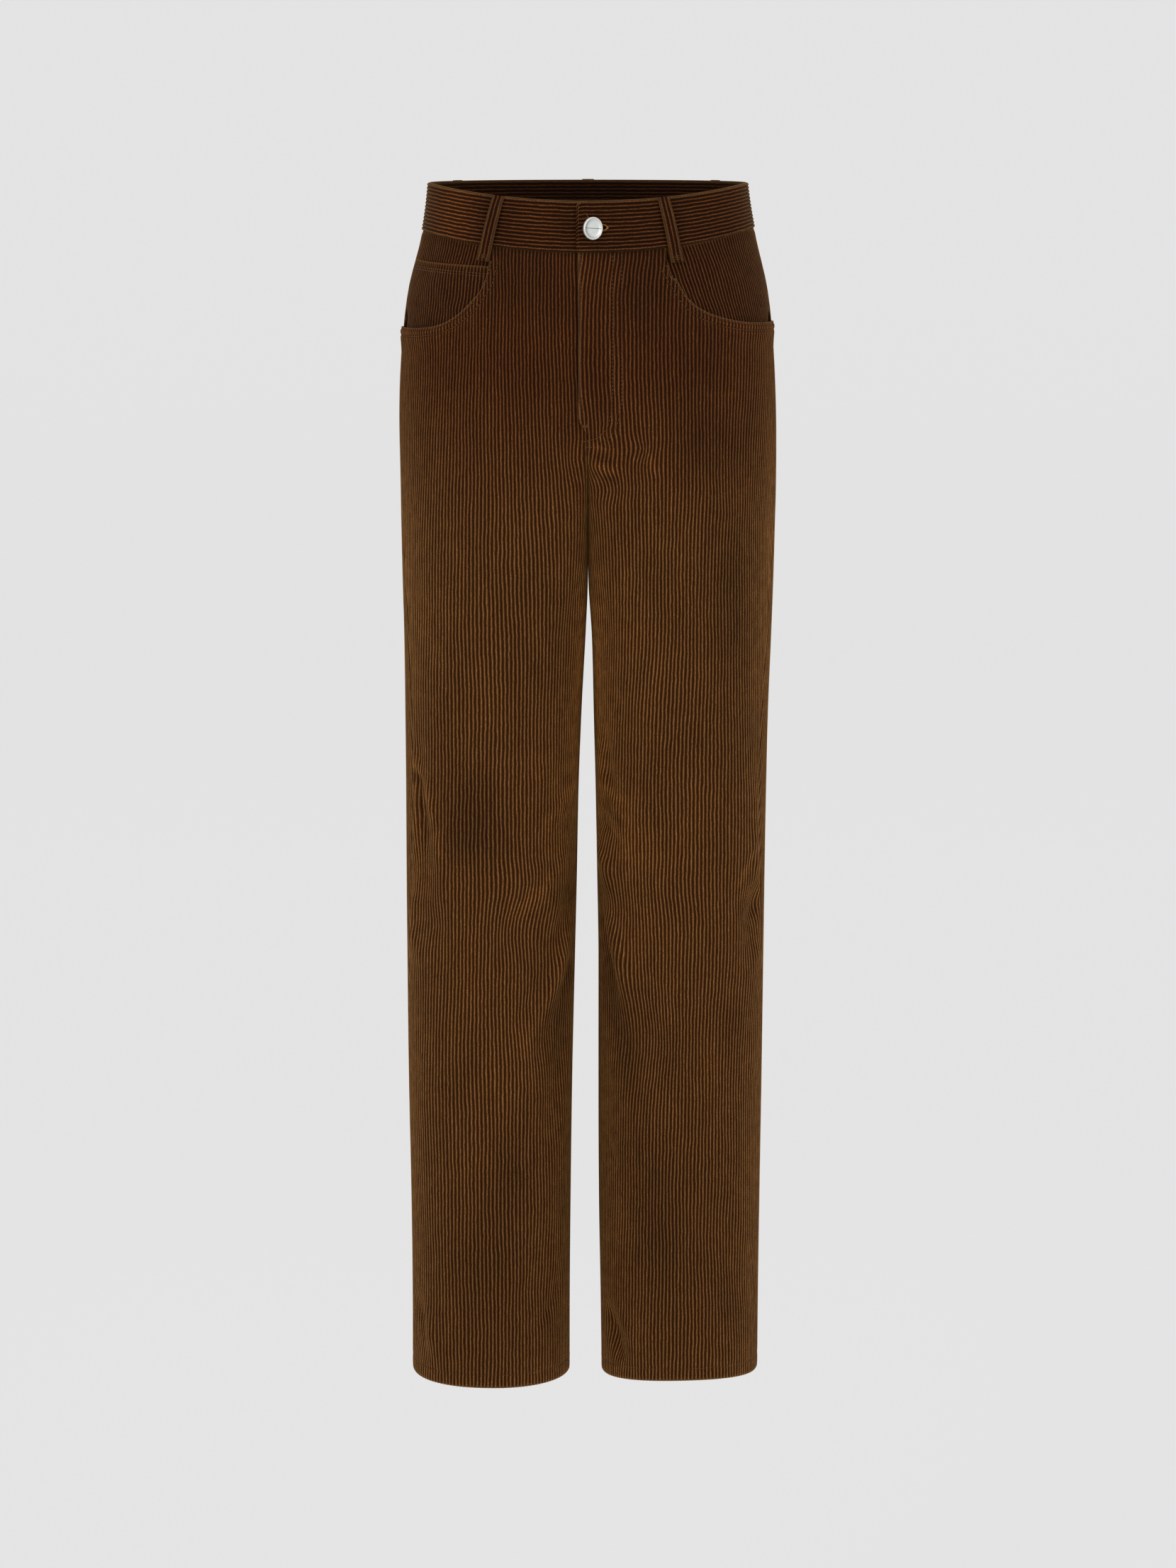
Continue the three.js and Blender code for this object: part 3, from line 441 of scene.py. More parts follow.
def ease(v):
    """Rises from 0 to 1: t² (3 - 2t)."""
    t = np.clip(v, 0, 1)
    return t * t * (3 - 2 * t)


def fade(size, distance, reach):
    """Falls off from a line: size · exp(-(distance / reach)²)."""
    return size * np.exp(-((distance / reach) ** 2))


def edge_highlight(edge, distance):
    """The painted highlight along an edge: size · exp(-distance / reach)."""
    size, reach = EDGE_HIGHLIGHT[edge]
    return size * np.exp(-distance / reach)


def smooth(rows, key, column, at):
    """A smooth curve through a table's column: y0 (1 - h) + y1 h + span (t (1-t)² m0 - t² (1-t) m1)
    with h = t² (3 - 2t). A row's slope m is the mean of its neighbours' where both go one way."""
    x, y = rows[key], rows[column]
    rise = np.diff(y) / np.diff(x)
    slope = np.zeros_like(y)
    slope[1:-1] = np.where(rise[:-1] * rise[1:] > 0, (rise[:-1] + rise[1:]) / 2, 0)
    at = np.clip(at, x[0], x[-1])
    i = np.clip(np.searchsorted(x, at, side="right") - 1, 0, len(x) - 2)
    span = x[i + 1] - x[i]
    t = (at - x[i]) / span
    h = t * t * (3 - 2 * t)
    bent = t * (1 - t) ** 2 * slope[i] - t * t * (1 - t) * slope[i + 1]
    return y[i] * (1 - h) + y[i + 1] * h + span * bent


class Leg:
    """One side's surface, worked out on +X. At each level the section runs from the rise seam or
    inseam forward, round the outside and back to it, and is kept at even steps of its length."""

    TOP, STEP, LEVELS = 25, 2, 570
    ALONG, BEYOND = 1.0, 24
    TURNS = 48

    def __init__(self, side):
        self.side = side
        self.z = self.TOP - self.STEP * np.arange(self.LEVELS)
        points, lengths = self.sections()
        outermost = 3 * (self.TURNS + 1) - 1
        self.total = lengths[:, -1]
        self.side_seam = lengths[:, outermost] - smooth(SHAPES, "z", "side_seam", self.z)
        reach = int((self.total.max() + 2 * self.BEYOND) / self.ALONG) + 2
        steps = np.arange(reach) * self.ALONG - self.BEYOND
        self.xy = np.empty((self.LEVELS, reach, 2))
        self.front, self.back = np.empty(self.LEVELS), np.empty(self.LEVELS)
        for k in range(self.LEVELS):
            total, (x, y) = self.total[k], points[k].T
            middle = (x.min() + x.max()) / 2
            half = slice(0, outermost + 1)
            rest = slice(None, outermost - 1, -1)
            self.front[k] = np.interp(middle, x[half], lengths[k][half])
            self.back[k] = np.interp(middle, x[rest], lengths[k][rest])
            at = np.mod(steps, total) if self.z[k] <= CROTCH_Z else steps
            self.xy[k, :, 0] = np.interp(at, lengths[k], x)
            self.xy[k, :, 1] = np.interp(at, lengths[k], y)
            if self.z[k] > CROTCH_Z:
                before, after = np.minimum(steps, 0), np.maximum(steps - total, 0)
                edges = (0, 1, total - 1, total)
                near = [[np.interp(edge, lengths[k], v) for v in (x, y)] for edge in edges]
                start, end = np.diff(near, axis=0)[[0, 2]]
                self.xy[k] += before[:, None] * start + after[:, None] * end

    def sections(self):
        """Points of every level's section: straight runs along the seam and four quarters of
        |x|^n + |y|^n = 1 between the seam, the front, the outside and the back."""
        inner = smooth(WIDTHS, "z", "inner_" + self.side, self.z) + HALF_GAP
        outer = smooth(WIDTHS, "z", self.side, self.z)
        front, back = (smooth(WIDTHS, "z", name, self.z) for name in ("front", "back"))
        shape = {name: smooth(SHAPES, "z", name, self.z) for name in SHAPES}
        front_x = inner + (outer - inner) * shape["peak_front"]
        back_x = inner + (outer - inner) * shape["peak_back"]
        front_corner = front + (shape["seam"] - front) * shape["round_front"]
        back_corner = back - (back - shape["seam"]) * shape["round_back"]
        start = np.maximum(front_corner, rise_depth(RISE_FRONT, shape["seam"], self.z))
        end = np.minimum(back_corner, rise_depth(RISE_BACK, shape["seam"], self.z))
        share = np.linspace(0, 1, self.TURNS + 1)
        parts = []

        def straight(from_y, to_y):
            y = from_y[:, None] + (to_y - from_y)[:, None] * share
            parts.append(np.stack([np.broadcast_to(inner[:, None], y.shape), y], axis=-1))

        def quarter(x0, y0, x1, y1, power, leaves_along_y):
            s = np.sin(np.pi / 2 * share) ** (2 / power)
            c = np.cos(np.pi / 2 * share).clip(0) ** (2 / power)
            x0, y0, x1, y1 = (v[:, None] for v in (x0, y0, x1, y1))
            if leaves_along_y:
                parts.append(np.stack([x1 + (x0 - x1) * c, y0 + (y1 - y0) * s], axis=-1))
            else:
                parts.append(np.stack([x0 + (x1 - x0) * s, y1 + (y0 - y1) * c], axis=-1))

        straight(start, front_corner)
        quarter(inner, front_corner, front_x, front, POWER["front_inner"], True)
        quarter(front_x, front, outer, shape["side"], POWER["front_outer"], False)
        quarter(outer, shape["side"], back_x, back, POWER["back_outer"], True)
        quarter(back_x, back, inner, back_corner, POWER["back_inner"], False)
        straight(back_corner, end)
        points = np.concatenate(parts, axis=1)
        steps = np.hypot(*np.moveaxis(np.diff(points, axis=1), -1, 0))
        lengths = np.concatenate([np.zeros((len(points), 1)), np.cumsum(steps, axis=1)], axis=1)
        return points, lengths

    def level(self, column, z):
        """A value kept for each level, between levels too."""
        return np.interp(-np.asarray(z, float), -self.z, column)

    def place(self, z, length):
        """Points at heights z. length(k) gives the lengths along the section of level k."""
        q = np.clip((self.TOP - z) / self.STEP, 0, self.LEVELS - 1.001)
        k = q.astype(int)
        found = 0
        for level, weight in ((k, 1 - (q - k)), (k + 1, q - k)):
            at = np.clip((length(level) + self.BEYOND) / self.ALONG, 0, self.xy.shape[1] - 1.001)
            i = at.astype(int)
            t = (at - i)[..., None]
            xy = self.xy[level, i] * (1 - t) + self.xy[level, i + 1] * t
            found = found + weight[..., None] * xy
        return found

    def surface(self, z, length, reach=3):
        """Points and outward directions, the cross product of the ways along and up the cloth."""
        z = np.asarray(z, float)
        here = self.place(z, length)
        across = self.place(z, lambda k: length(k) + reach) - self.place(z, lambda k: length(k) - reach)
        up = self.place(z + reach, length) - self.place(z - reach, length)
        rise = np.full(z.shape, 2.0 * reach)
        out = np.stack([
            across[..., 1] * rise,
            -across[..., 0] * rise,
            across[..., 0] * up[..., 1] - across[..., 1] * up[..., 0],
        ], axis=-1)
        out /= np.linalg.norm(out, axis=-1, keepdims=True)
        return np.concatenate([here, z[..., None]], axis=-1), out


def rise_depth(branch, seam, z):
    """The rise seam's depth: a quarter ellipse down to the crotch."""
    share = np.clip((branch["top_z"] - z) / (branch["top_z"] - CROTCH_Z), 0, 1)
    return seam + (branch["top_y"] - seam) * np.sqrt(1 - share * share)


LEGS = {side: Leg(side) for side in ("right", "left")}


def band_top(side, x, in_front):
    """The waistband's upper edge, level behind and lower in front by dip · (1 - (x / half)²)."""
    half = smooth(WIDTHS, "z", side, 0)
    level = np.clip(np.abs(x) / half, 0, 1) ** 2
    return WAIST_SIDE_Z - np.where(in_front, WAIST_FRONT_DIP * (1 - level), 0)


def band_bottom(side, x, in_front):
    """The waistband's lower edge: its depth goes from the middle's to the side's by (x / half)²."""
    half = smooth(WIDTHS, "z", side, 0)
    level = np.clip(np.abs(x) / half, 0, 1) ** 2
    middle = np.where(in_front, BAND_FRONT_DEPTH, BAND_BACK_DEPTH)
    return band_top(side, x, in_front) - (middle + (BAND_SIDE_DEPTH[side] - middle) * level)


def side_of(name):
    """The wearer's side that a piece is on."""
    return "right" if name.endswith("right") else "left"


def to_side(name, points):
    """Pieces of the wearer's right side are worked out on +X and turned over to -X."""
    return points * (-1, 1, 1) if side_of(name) == "right" else points


def lap_width(z):
    """How far the left front laps over the right one, down to the fly's end."""
    return FLY_LAP * ease((z - (FLY_END_Z - FLY_FADE)) / FLY_FADE)


def lap_lift(z):
    """How far the lapping edge stands off the cloth under it."""
    return LAP_LIFT * ease((z - (FLY_END_Z - FLY_FADE - LAP_FADE)) / LAP_FADE)


def panel_reach(name, z):
    """A panel's inner and outer edges, as distances from its middle line."""
    leg = LEGS[side_of(name)]
    closed = z <= CROTCH_Z
    if name.startswith("front"):
        line = leg.level(leg.front, z)
        lap = lap_width(z) if name == "front_left" else 0
        return np.where(closed, HALF_GAP, -lap) - line, leg.level(leg.side_seam, z) - HALF_GAP - line
    line = leg.level(leg.back, z)
    outer = line - leg.level(leg.side_seam, z) - HALF_GAP
    return line - leg.level(leg.total, z) + np.where(closed, HALF_GAP, 0), outer


def fold_height(folds, a, z):
    """Each fold is height · exp(-(distance / width)²) from its line, fading towards its ends."""
    height = np.zeros(np.broadcast(a, z).shape)
    for a0, z0, a1, z1, width, rise in folds:
        da, dz = a1 - a0, z1 - z0
        t = ((a - a0) * da + (z - z0) * dz) / (da * da + dz * dz)
        k = np.clip(t, 0, 1)
        away = np.hypot(a - a0 - k * da, z - z0 - k * dz)
        ends = ease(np.clip(FOLD_ENDS["over"] - np.abs(2 * t - 1), 0, 1) + FOLD_ENDS["least"])
        height += fade(rise, away, width) * ends
    return height


def shift(name, z):
    """How far a panel's grain has shifted outwards."""
    return smooth(GRAIN[name], "z", "shift", z)


def close(name, z):
    """How wide a panel's wales lie there, beside their own pitch."""
    return smooth(GRAIN[name], "z", "close", z)


def bend(name, a, z):
    """How far the wales are pushed aside: size · exp(-(a / along)² - (z / down)²) for each bend, and
    size · sin(2π (a / across + z / down + turn)) for the slight waves that run all over the cloth."""
    pushed = 0
    for a0, z0, along, down, size in BENDS[name]:
        pushed = pushed + size * np.exp(-(((a - a0) / along) ** 2) - ((z - z0) / down) ** 2)
    start = list(BENDS).index(name) * WAVE_TURN
    for size, across, down, turn in WAVES:
        pushed = pushed + size * np.sin(2 * np.pi * (a / across + z / down + turn + start))
    return pushed


def cloth_at(name, a, z, depth):
    """A panel's surface on +X: the points at distances a from the middle line, under the face by
    depth, and the outward directions. Folds fade out at the seams, the waistband and the hem."""
    leg, a, z = LEGS[side_of(name)], *np.broadcast_arrays(np.asarray(a, float), np.asarray(z, float))
    in_front = name.startswith("front")
    if in_front:
        points, out = leg.surface(z, lambda k: leg.front[k] + a)
    else:
        points, out = leg.surface(z, lambda k: leg.back[k] - a)
    low, high = panel_reach(name, z)
    edge = np.minimum(a - low, high - a)
    held = (
        ease(edge / HELD["at_seam"])
        * ease((HELD["top_z"] - z) / HELD["over_top"])
        * ease((z - HEM_Z + HELD["below_hem"]) / HELD["over_hem"])
    )
    lift = fold_height(FOLDS[name] + CREASES[name], a, z) * held
    if name == "front_left":
        s = a + leg.level(leg.front, z)
        lift = lift + lap_lift(z) * (1 - ease((s - LAP_FLAT) / LAP_BLEND))
    if name == "front_right":
        s = a + leg.level(leg.front, z)
        lift = lift - LAP_TUCK * lap_lift(z) / LAP_LIFT * (1 - ease((s - FLY_LAP) / LAP_TUCK_BLEND))
    if in_front:
        x = points[..., 0]
        drop = smooth(SCOOPS[side_of(name)], "x", "z", x) - z
        outside = ease((x - GAPE["from_x"]) / GAPE["over"])
        outside = outside * ease((high - a + GAPE["at_seam"]) / GAPE["from_seam"])
        lift = lift + GAPE["height"] * outside * (1 - ease(np.abs(drop) / GAPE["reach"]))
    return points + out * (lift - depth)[..., None], out


def top_of(name, a, z):
    """The panel's top edge: the waistband's seam or the pocket's scoop."""
    side, in_front = side_of(name), name.startswith("front")
    points, _ = cloth_at(name, a, z, 0)
    x, y = points[..., 0], points[..., 1]
    seam = band_bottom(side, x, in_front & (y < 0)) - SEAM_GAP
    if not in_front:
        return seam
    scoop = SCOOPS[side]
    return np.where(x > scoop["x"][0], np.minimum(seam, smooth(scoop, "x", "z", x)), seam)


def wale(u):
    """A wale's height across one rib: 1 - |2 (u - whole) - 1|³, 0 in the groove and 1 on top."""
    return 1 - np.abs(2 * (u - np.floor(u)) - 1) ** 3


def scoop_row(side, inset):
    """A line that follows a pocket's scoop at an even distance inside the panel."""
    x = np.concatenate([SCOOPS[side]["x"][:3], np.linspace(SCOOPS[side]["x"][3], SCOOP_ROWS_END_X, 24)])
    z = smooth(SCOOPS[side], "x", "z", x)
    way = np.gradient(np.stack([x, z], -1), axis=0)
    way /= np.hypot(*way.T)[:, None]
    row = np.stack([x + way[:, 1] * inset, z - way[:, 0] * inset], -1)
    return row[row[:, 1] < SCOOP_ROWS_TOP]


def sewn_rows(name):
    """Lines sewn through a front panel, as distances from its middle line and heights."""
    if not name.startswith("front"):
        return []
    rows = [scoop_row(side_of(name), inset) for inset in SCOOP_ROWS]
    if name == "front_left":
        rows += [np.array(row, float) for row in FLY_ROWS]
    made = []
    for row in rows:
        steps = np.concatenate([[0], np.cumsum(np.hypot(*np.diff(row, axis=0).T))])
        fine = np.linspace(0, steps[-1], max(6, int(steps[-1] / 4)))
        x, z = (np.interp(fine, steps, row[:, k]) for k in (0, 1))
        made.append(np.stack([across_front(name, x, z), z], -1))
    return made


def away_from(line, a, z):
    """The distance from each place to the nearest stretch of a line."""
    nearest = np.full(a.shape, 1e3)
    for (a0, z0), (a1, z1) in zip(line[:-1], line[1:]):
        da, dz = a1 - a0, z1 - z0
        t = np.clip(((a - a0) * da + (z - z0) * dz) / (da * da + dz * dz), 0, 1)
        nearest = np.minimum(nearest, np.hypot(a - a0 - t * da, z - z0 - t * dz))
    return nearest


def row_heights():
    """Heights of a panel's rows below its top part, closer where the crotch curves."""
    heights = []
    for top, bottom, share in ROW_STRETCHES:
        count = max(2, round((top - bottom) / (ROW_STEP * share)))
        heights.extend(np.linspace(top, bottom, count, endpoint=False))
    fold = HEM_Z + HEM_DEPTH
    at_fold = [fold + 4, fold + 1.6, fold, fold - 1.6, fold - 5]
    return np.array(heights + at_fold + [HEM_Z + 3.4, HEM_Z + 1.2, HEM_Z])


def hem_rise(name, a):
    """How far the hem is drawn up in front and on the outside."""
    side = side_of(name)
    points, _ = cloth_at(name, a, np.full(a.shape, float(HEM_Z)), 0)
    front, outside = HEM_RISE[side]
    rise = front * np.clip(points[:, 1] / HEM_FRONT_Y, 0, 1) ** 2
    return rise + outside * np.clip(points[:, 0] / smooth(WIDTHS, "z", side, HEM_Z), 0, 1) ** 2


HEM_SHARE = (HEM_RISE_FROM - HEM_Z - HEM_DEPTH) / (HEM_RISE_FROM - HEM_Z)


def panel_grid(name, wales):
    """Distances and heights of a panel's grid: its columns follow the grain, kept within the panel."""
    lower = row_heights()
    laid = wales * WALE_PITCH

    def kept(z):
        free = laid * close(name, z) + shift(name, z) + bend(name, laid, z)
        low, high = panel_reach(name, z)
        return np.clip(free, low, high), free <= low, free >= high

    tops = np.full(laid.shape, -60.0)
    for _ in range(10):
        tops = top_of(name, kept(tops)[0], tops)
    share = np.arange(TOP_ROWS)[:, None] / TOP_ROWS
    z = np.concatenate([tops + (lower[0] - tops) * share, np.repeat(lower[:, None], len(laid), axis=1)])
    rise = hem_rise(name, kept(np.full(laid.shape, float(HEM_Z)))[0])
    z = z + rise * np.clip((HEM_RISE_FROM - z) / (HEM_RISE_FROM - HEM_Z), 0, 1)
    a, below, above = kept(z)
    first = np.maximum(below.sum(axis=1) - 1, 0)
    last = np.minimum(len(laid) - above.sum(axis=1), len(laid) - 1)
    u = (a - shift(name, z) - bend(name, a, z)) / (WALE_PITCH * close(name, z))
    u = np.where(below | above, u, wales)
    return a, z, u, first, last


def grid_faces(first, last, columns, offset):
    """The grid's cells as quads and, where columns end at an edge, triangles; with the index grid."""
    rows = len(first)
    kept = np.clip(np.arange(columns), first[:, None], last[:, None])
    index = offset + np.arange(rows)[:, None] * columns + kept
    a, b, c, d = index[:-1, :-1], index[1:, :-1], index[1:, 1:], index[:-1, 1:]
    whole = (a != d) & (b != c)
    quads = np.stack([a, b, c, d], axis=-1)[whole]
    down = (a == d) & (b != c)
    up = (a != d) & (b == c)
    triangles = np.concatenate([np.stack([a, b, c], -1)[down], np.stack([a, b, d], -1)[up]])
    return index, quads, triangles


def zipped(outer, inner, at_outer, at_inner):
    """Triangles between two rows of an edge, each outer point going to the nearest inner one."""
    near = np.abs(at_outer[:, None] - at_inner).argmin(axis=1)
    near[0] = 0
    near = np.maximum.accumulate(near)
    from_outer = np.stack([outer[:-1], outer[1:], inner[near[:-1]]], -1)
    turns = np.clip(np.searchsorted(near, np.arange(1, len(inner))), 0, len(outer) - 1)
    from_inner = np.stack([outer[turns], inner[1:], inner[:-1]], -1)
    return np.concatenate([from_outer, from_inner])


def make_piece(name, points, quads, triangles, materials, uv=None, marks=None, inner=None, flip=False):
    """A piece's mesh in metres. inner says which faces, quads first, take the second material. marks
    are values kept at its points: rim for the painted highlight along edges, and one for painted light
    and shade on the pile, partly where the pile lies another way."""
    quads, triangles = np.asarray(quads, int).reshape(-1, 4), np.asarray(triangles, int).reshape(-1, 3)
    if flip:
        quads, triangles = quads[:, ::-1], triangles[:, ::-1]
    used, index = np.unique(np.concatenate([quads.ravel(), triangles.ravel()]), return_inverse=True)
    quads, triangles = index[: quads.size].reshape(-1, 4), index[quads.size:].reshape(-1, 3)
    mesh = bpy.data.meshes.new(name)
    mesh.from_pydata((points[used] * MM).tolist(), [], quads.tolist() + triangles.tolist())
    for material in materials:
        mesh.materials.append(material)
    if inner is not None:
        mesh.polygons.foreach_set("material_index", np.asarray(inner, np.int32))
    mesh.polygons.foreach_set("use_smooth", np.ones(len(mesh.polygons), bool))
    corners = np.empty(len(mesh.loops), np.int32)
    mesh.loops.foreach_get("vertex_index", corners)
    if uv is not None:
        layer = mesh.uv_layers.new(name="cloth")
        layer.data.foreach_set("uv", uv[used][corners].astype(np.float32).ravel())
    for key, values in (marks or {}).items():
        kept = values[used].astype(np.float32)
        mesh.attributes.new(key, "FLOAT", "POINT").data.foreach_set("value", kept)
    mesh.update()
    made = bpy.data.objects.new(name, mesh)
    bpy.context.collection.objects.link(made)
    return made


def linear(colour):
    """An sRGB hex colour as linear light."""
    channels = [int(colour[i:i + 2], 16) / 255 for i in (1, 3, 5)]
    return [c / 12.92 if c <= 0.04045 else ((c + 0.055) / 1.055) ** 2.4 for c in channels] + [1]


def feed(tree, made, inputs):
    """Gives a node's inputs their values, or the outputs that feed them."""
    for key, value in inputs.items():
        if isinstance(value, bpy.types.NodeSocket):
            tree.links.new(value, made.inputs[key])
        else:
            made.inputs[key].default_value = value


def node(tree, kind, inputs=None, give=0, **settings):
    """Adds a node with its settings and inputs, and gives one of its outputs."""
    made = tree.nodes.new("ShaderNode" + kind)
    for key, value in settings.items():
        setattr(made, key, value)
    feed(tree, made, inputs or {})
    return made.outputs[give]


def blank(name):
    """A new material with its node tree and its one shader."""
    material = bpy.data.materials.new(name)
    material.use_nodes = True
    tree = material.node_tree
    return material, tree, tree.nodes["Principled BSDF"]


def corduroy(name, groove, middle, ridge, sheen):
    """Cut-pile cotton, woven and brushed. Its colour is painted from nearly black in the grooves to
    light on the rib tops, a painted shade and a painted highlight over the real ribs, with patches of
    painted light and shade, partly where the pile lies another way, and a painted highlight along
    edges. sheen is how strongly the tips take light from the side."""
    material, tree, shader = blank(name)
    add = partial(node, tree)
    place = add("TexCoord", give="Object")
    cloth = add("UVMap", give="UV", uv_map="cloth")
    wales = add("SeparateXYZ", {0: cloth}, "X")
    height = add("SeparateXYZ", {0: place}, "Z")
    # Across a wale: 0 in the groove and 1 on the rib, which wanders a little and is roughened by tufts
    # of pile about 1 mm across.
    loose = add("Mapping", {"Vector": cloth, "Scale": (0.4, 0.09, 1)})
    wander = add("TexNoise", {"Vector": loose, "Scale": 1.0, "Detail": 2.0}, "Fac")
    wander = add("Math", {0: wander, 1: 0.45, 2: -0.225}, operation="MULTIPLY_ADD")
    across = add("Math", {0: wales, 1: wander}, operation="ADD")
    even = add("Math", {0: across, 1: 0.5}, operation="PINGPONG")
    tufts = add("TexNoise", {"Vector": place, "Scale": 1100.0, "Detail": 2.0, "Roughness": 0.6}, "Fac")
    rough = add("Math", {0: tufts, 1: 0.7, 2: -0.35}, operation="MULTIPLY_ADD")
    rib = add("Math", {0: even, 1: 2.0, 2: rough}, operation="MULTIPLY_ADD")
    # Tones from 0 to 1: patches a few centimetres long, each wale's own, and short lengths of a wale.
    tones = {}
    for key, vector, scale, detail, fine, low in (
        ("patch", place, (26, 26, 13), 3.0, 0.55, 0.35),
        ("wale", cloth, (0.9, 0.02, 1), 1.0, 0.5, 0.3),
        ("short", cloth, (1.3, 0.16, 1), 2.0, 0.6, 0.3),
    ):
        laid = add("Mapping", {"Vector": vector, "Scale": scale})
        noise = {"Vector": laid, "Scale": 1.0, "Detail": detail, "Roughness": fine}
        noise = add("TexNoise", noise, "Fac")
        tones[key] = add("MapRange", {"Value": noise, "From Min": low, "From Max": 1 - low}, "Result")
    # The groove's colour, then the middle's, then on the rib tops the ridge's: painted shade in the
    # grooves and a painted highlight on the ribs, uneven along them.
    deep = add("MapRange", {"Value": rib, "From Min": 0.05, "From Max": 0.6}, "Result")
    high = add("MapRange", {"Value": rib, "From Min": 0.62, "From Max": 1.05}, "Result")
    uneven = add("MapRange", {"Value": tones["short"], "To Min": 0.55}, "Result")
    high = add("Math", {0: high, 1: uneven}, operation="MULTIPLY")
    colour = add("Mix", {0: deep, 6: linear(groove), 7: linear(middle)}, 2, data_type="RGBA")
    colour = add("Mix", {0: high, 6: colour, 7: linear(ridge)}, 2, data_type="RGBA")
    # The tones, and the painted light and shade kept at each point, partly where the pile lies another
    # way, in doublings of brightness.
    toned = add("Math", {0: tones["patch"], 1: tones["wale"]}, operation="ADD")
    toned = add("MapRange", {"Value": toned, "From Max": 2.0, "To Min": 0.82, "To Max": 1.16}, "Result")
    lay_and_shade = add("Attribute", give="Fac", attribute_name="pile_lay_and_shade")
    lay_and_shade = add("Math", {0: 2.0, 1: lay_and_shade}, operation="POWER")
    lit = add("Math", {0: toned, 1: lay_and_shade}, operation="MULTIPLY")
    lit = add("CombineColor", {0: lit, 1: lit, 2: lit})
    colour = add("Mix", {0: 1.0, 6: colour, 7: lit}, 2, data_type="RGBA", blend_type="MULTIPLY")
    # The waist is redder and darker, the legs lighter and more olive.
    leg = add("MapRange", {"Value": height, "From Min": -0.16, "From Max": -0.32}, "Result")
    cast = add("Mix", {0: leg, 6: (0.62, 0.47, 0.40, 1), 7: (1, 1, 1, 1)}, 2, data_type="RGBA")
    colour = add("Mix", {0: 1.0, 6: colour, 7: cast}, 2, data_type="RGBA", blend_type="MULTIPLY")
    # A painted highlight along edges and folds, towards the ridge's colour.
    rim = add("Attribute", give="Fac", attribute_name="rim")
    rim = add("Math", {0: rim, 1: 0.55}, operation="MULTIPLY")
    colour = add("Mix", {0: rim, 6: colour, 7: linear(ridge)}, 2, data_type="RGBA")
    feed(tree, shader, {
        "Base Color": colour, "Roughness": 0.9, "Specular IOR Level": 0.08,
        "Sheen Weight": sheen, "Sheen Roughness": 0.4, "Sheen Tint": linear("#bf8e4e"),
        "Normal": add("Bump", {"Height": tufts, "Strength": 0.7, "Distance": 0.0003}),
    })
    return material


def flecked(tree, colour, scale, low, high):
    """A colour that fine noise makes from low to high times as bright, and the noise itself."""
    place = node(tree, "TexCoord", give="Object")
    noise = node(tree, "TexNoise", {"Vector": place, "Scale": scale, "Detail": 2.0}, "Fac")
    lit = node(tree, "MapRange", {"Value": noise, "To Min": low, "To Max": high}, "Result")
    lit = node(tree, "CombineColor", {0: lit, 1: lit, 2: lit})
    inputs = {0: 1.0, 6: linear(colour), 7: lit}
    return node(tree, "Mix", inputs, 2, data_type="RGBA", blend_type="MULTIPLY"), noise


def plain_weave(name, colour):
    """The flat back of the cloth: matt, its 0.6 mm weave too fine to show and drawn 1.25 mm wide."""
    material, tree, shader = blank(name)
    colour, weave = flecked(tree, colour, 800.0, 0.75, 1.2)
    bump = node(tree, "Bump", {"Height": weave, "Strength": 0.5, "Distance": 0.0002})
    feed(tree, shader, {
        "Base Color": colour, "Roughness": 0.95, "Specular IOR Level": 0.1, "Normal": bump,
    })
    return material


def sewing_thread(name, colour):
    """Polyester-wrapped thread: a slight silky shine, its fine twist drawn as 0.7 mm flecks."""
    material, tree, shader = blank(name)
    colour, _ = flecked(tree, colour, 1500.0, 0.6, 1.3)
    feed(tree, shader, {"Base Color": colour, "Roughness": 0.6, "Specular IOR Level": 0.2})
    return material


def zinc(name, colour, scale, detail, low, high):
    """Zinc, plated and satin brushed, or darker and rougher for the line across the button: a blurred
    grey reflection, its roughness clouded about 1 mm wide from low to high."""
    material, tree, shader = blank(name)
    place = node(tree, "TexCoord", give="Object")
    cloud = node(tree, "TexNoise", {"Vector": place, "Scale": scale, "Detail": detail}, "Fac")
    rough = node(tree, "MapRange", {"Value": cloud, "To Min": low, "To Max": high}, "Result")
    feed(tree, shader, {"Base Color": linear(colour), "Metallic": 1.0, "Roughness": rough})
    return material


CORD = corduroy("cotton_corduroy", "#240d00", "#472503", "#906a44", 0.72)
WAIST_CORD = corduroy("cotton_corduroy_waist", "#1c0a00", "#371b05", "#8c6438", 0.32)
BACKING = plain_weave("plain_woven_cotton_back", "#49341d")
THREAD = sewing_thread("brown_sewing_thread", "#5a3c20")
GOLD_THREAD = sewing_thread("golden_brown_sewing_thread", "#8a5a26")
SATIN_ZINC = zinc("satin_plated_zinc", "#dcdedb", 900.0, 3.0, 0.42, 0.55)
DARK_ZINC = zinc("dark_zinc_line", "#5d605c", 1200.0, 2.0, 0.5, 0.8)


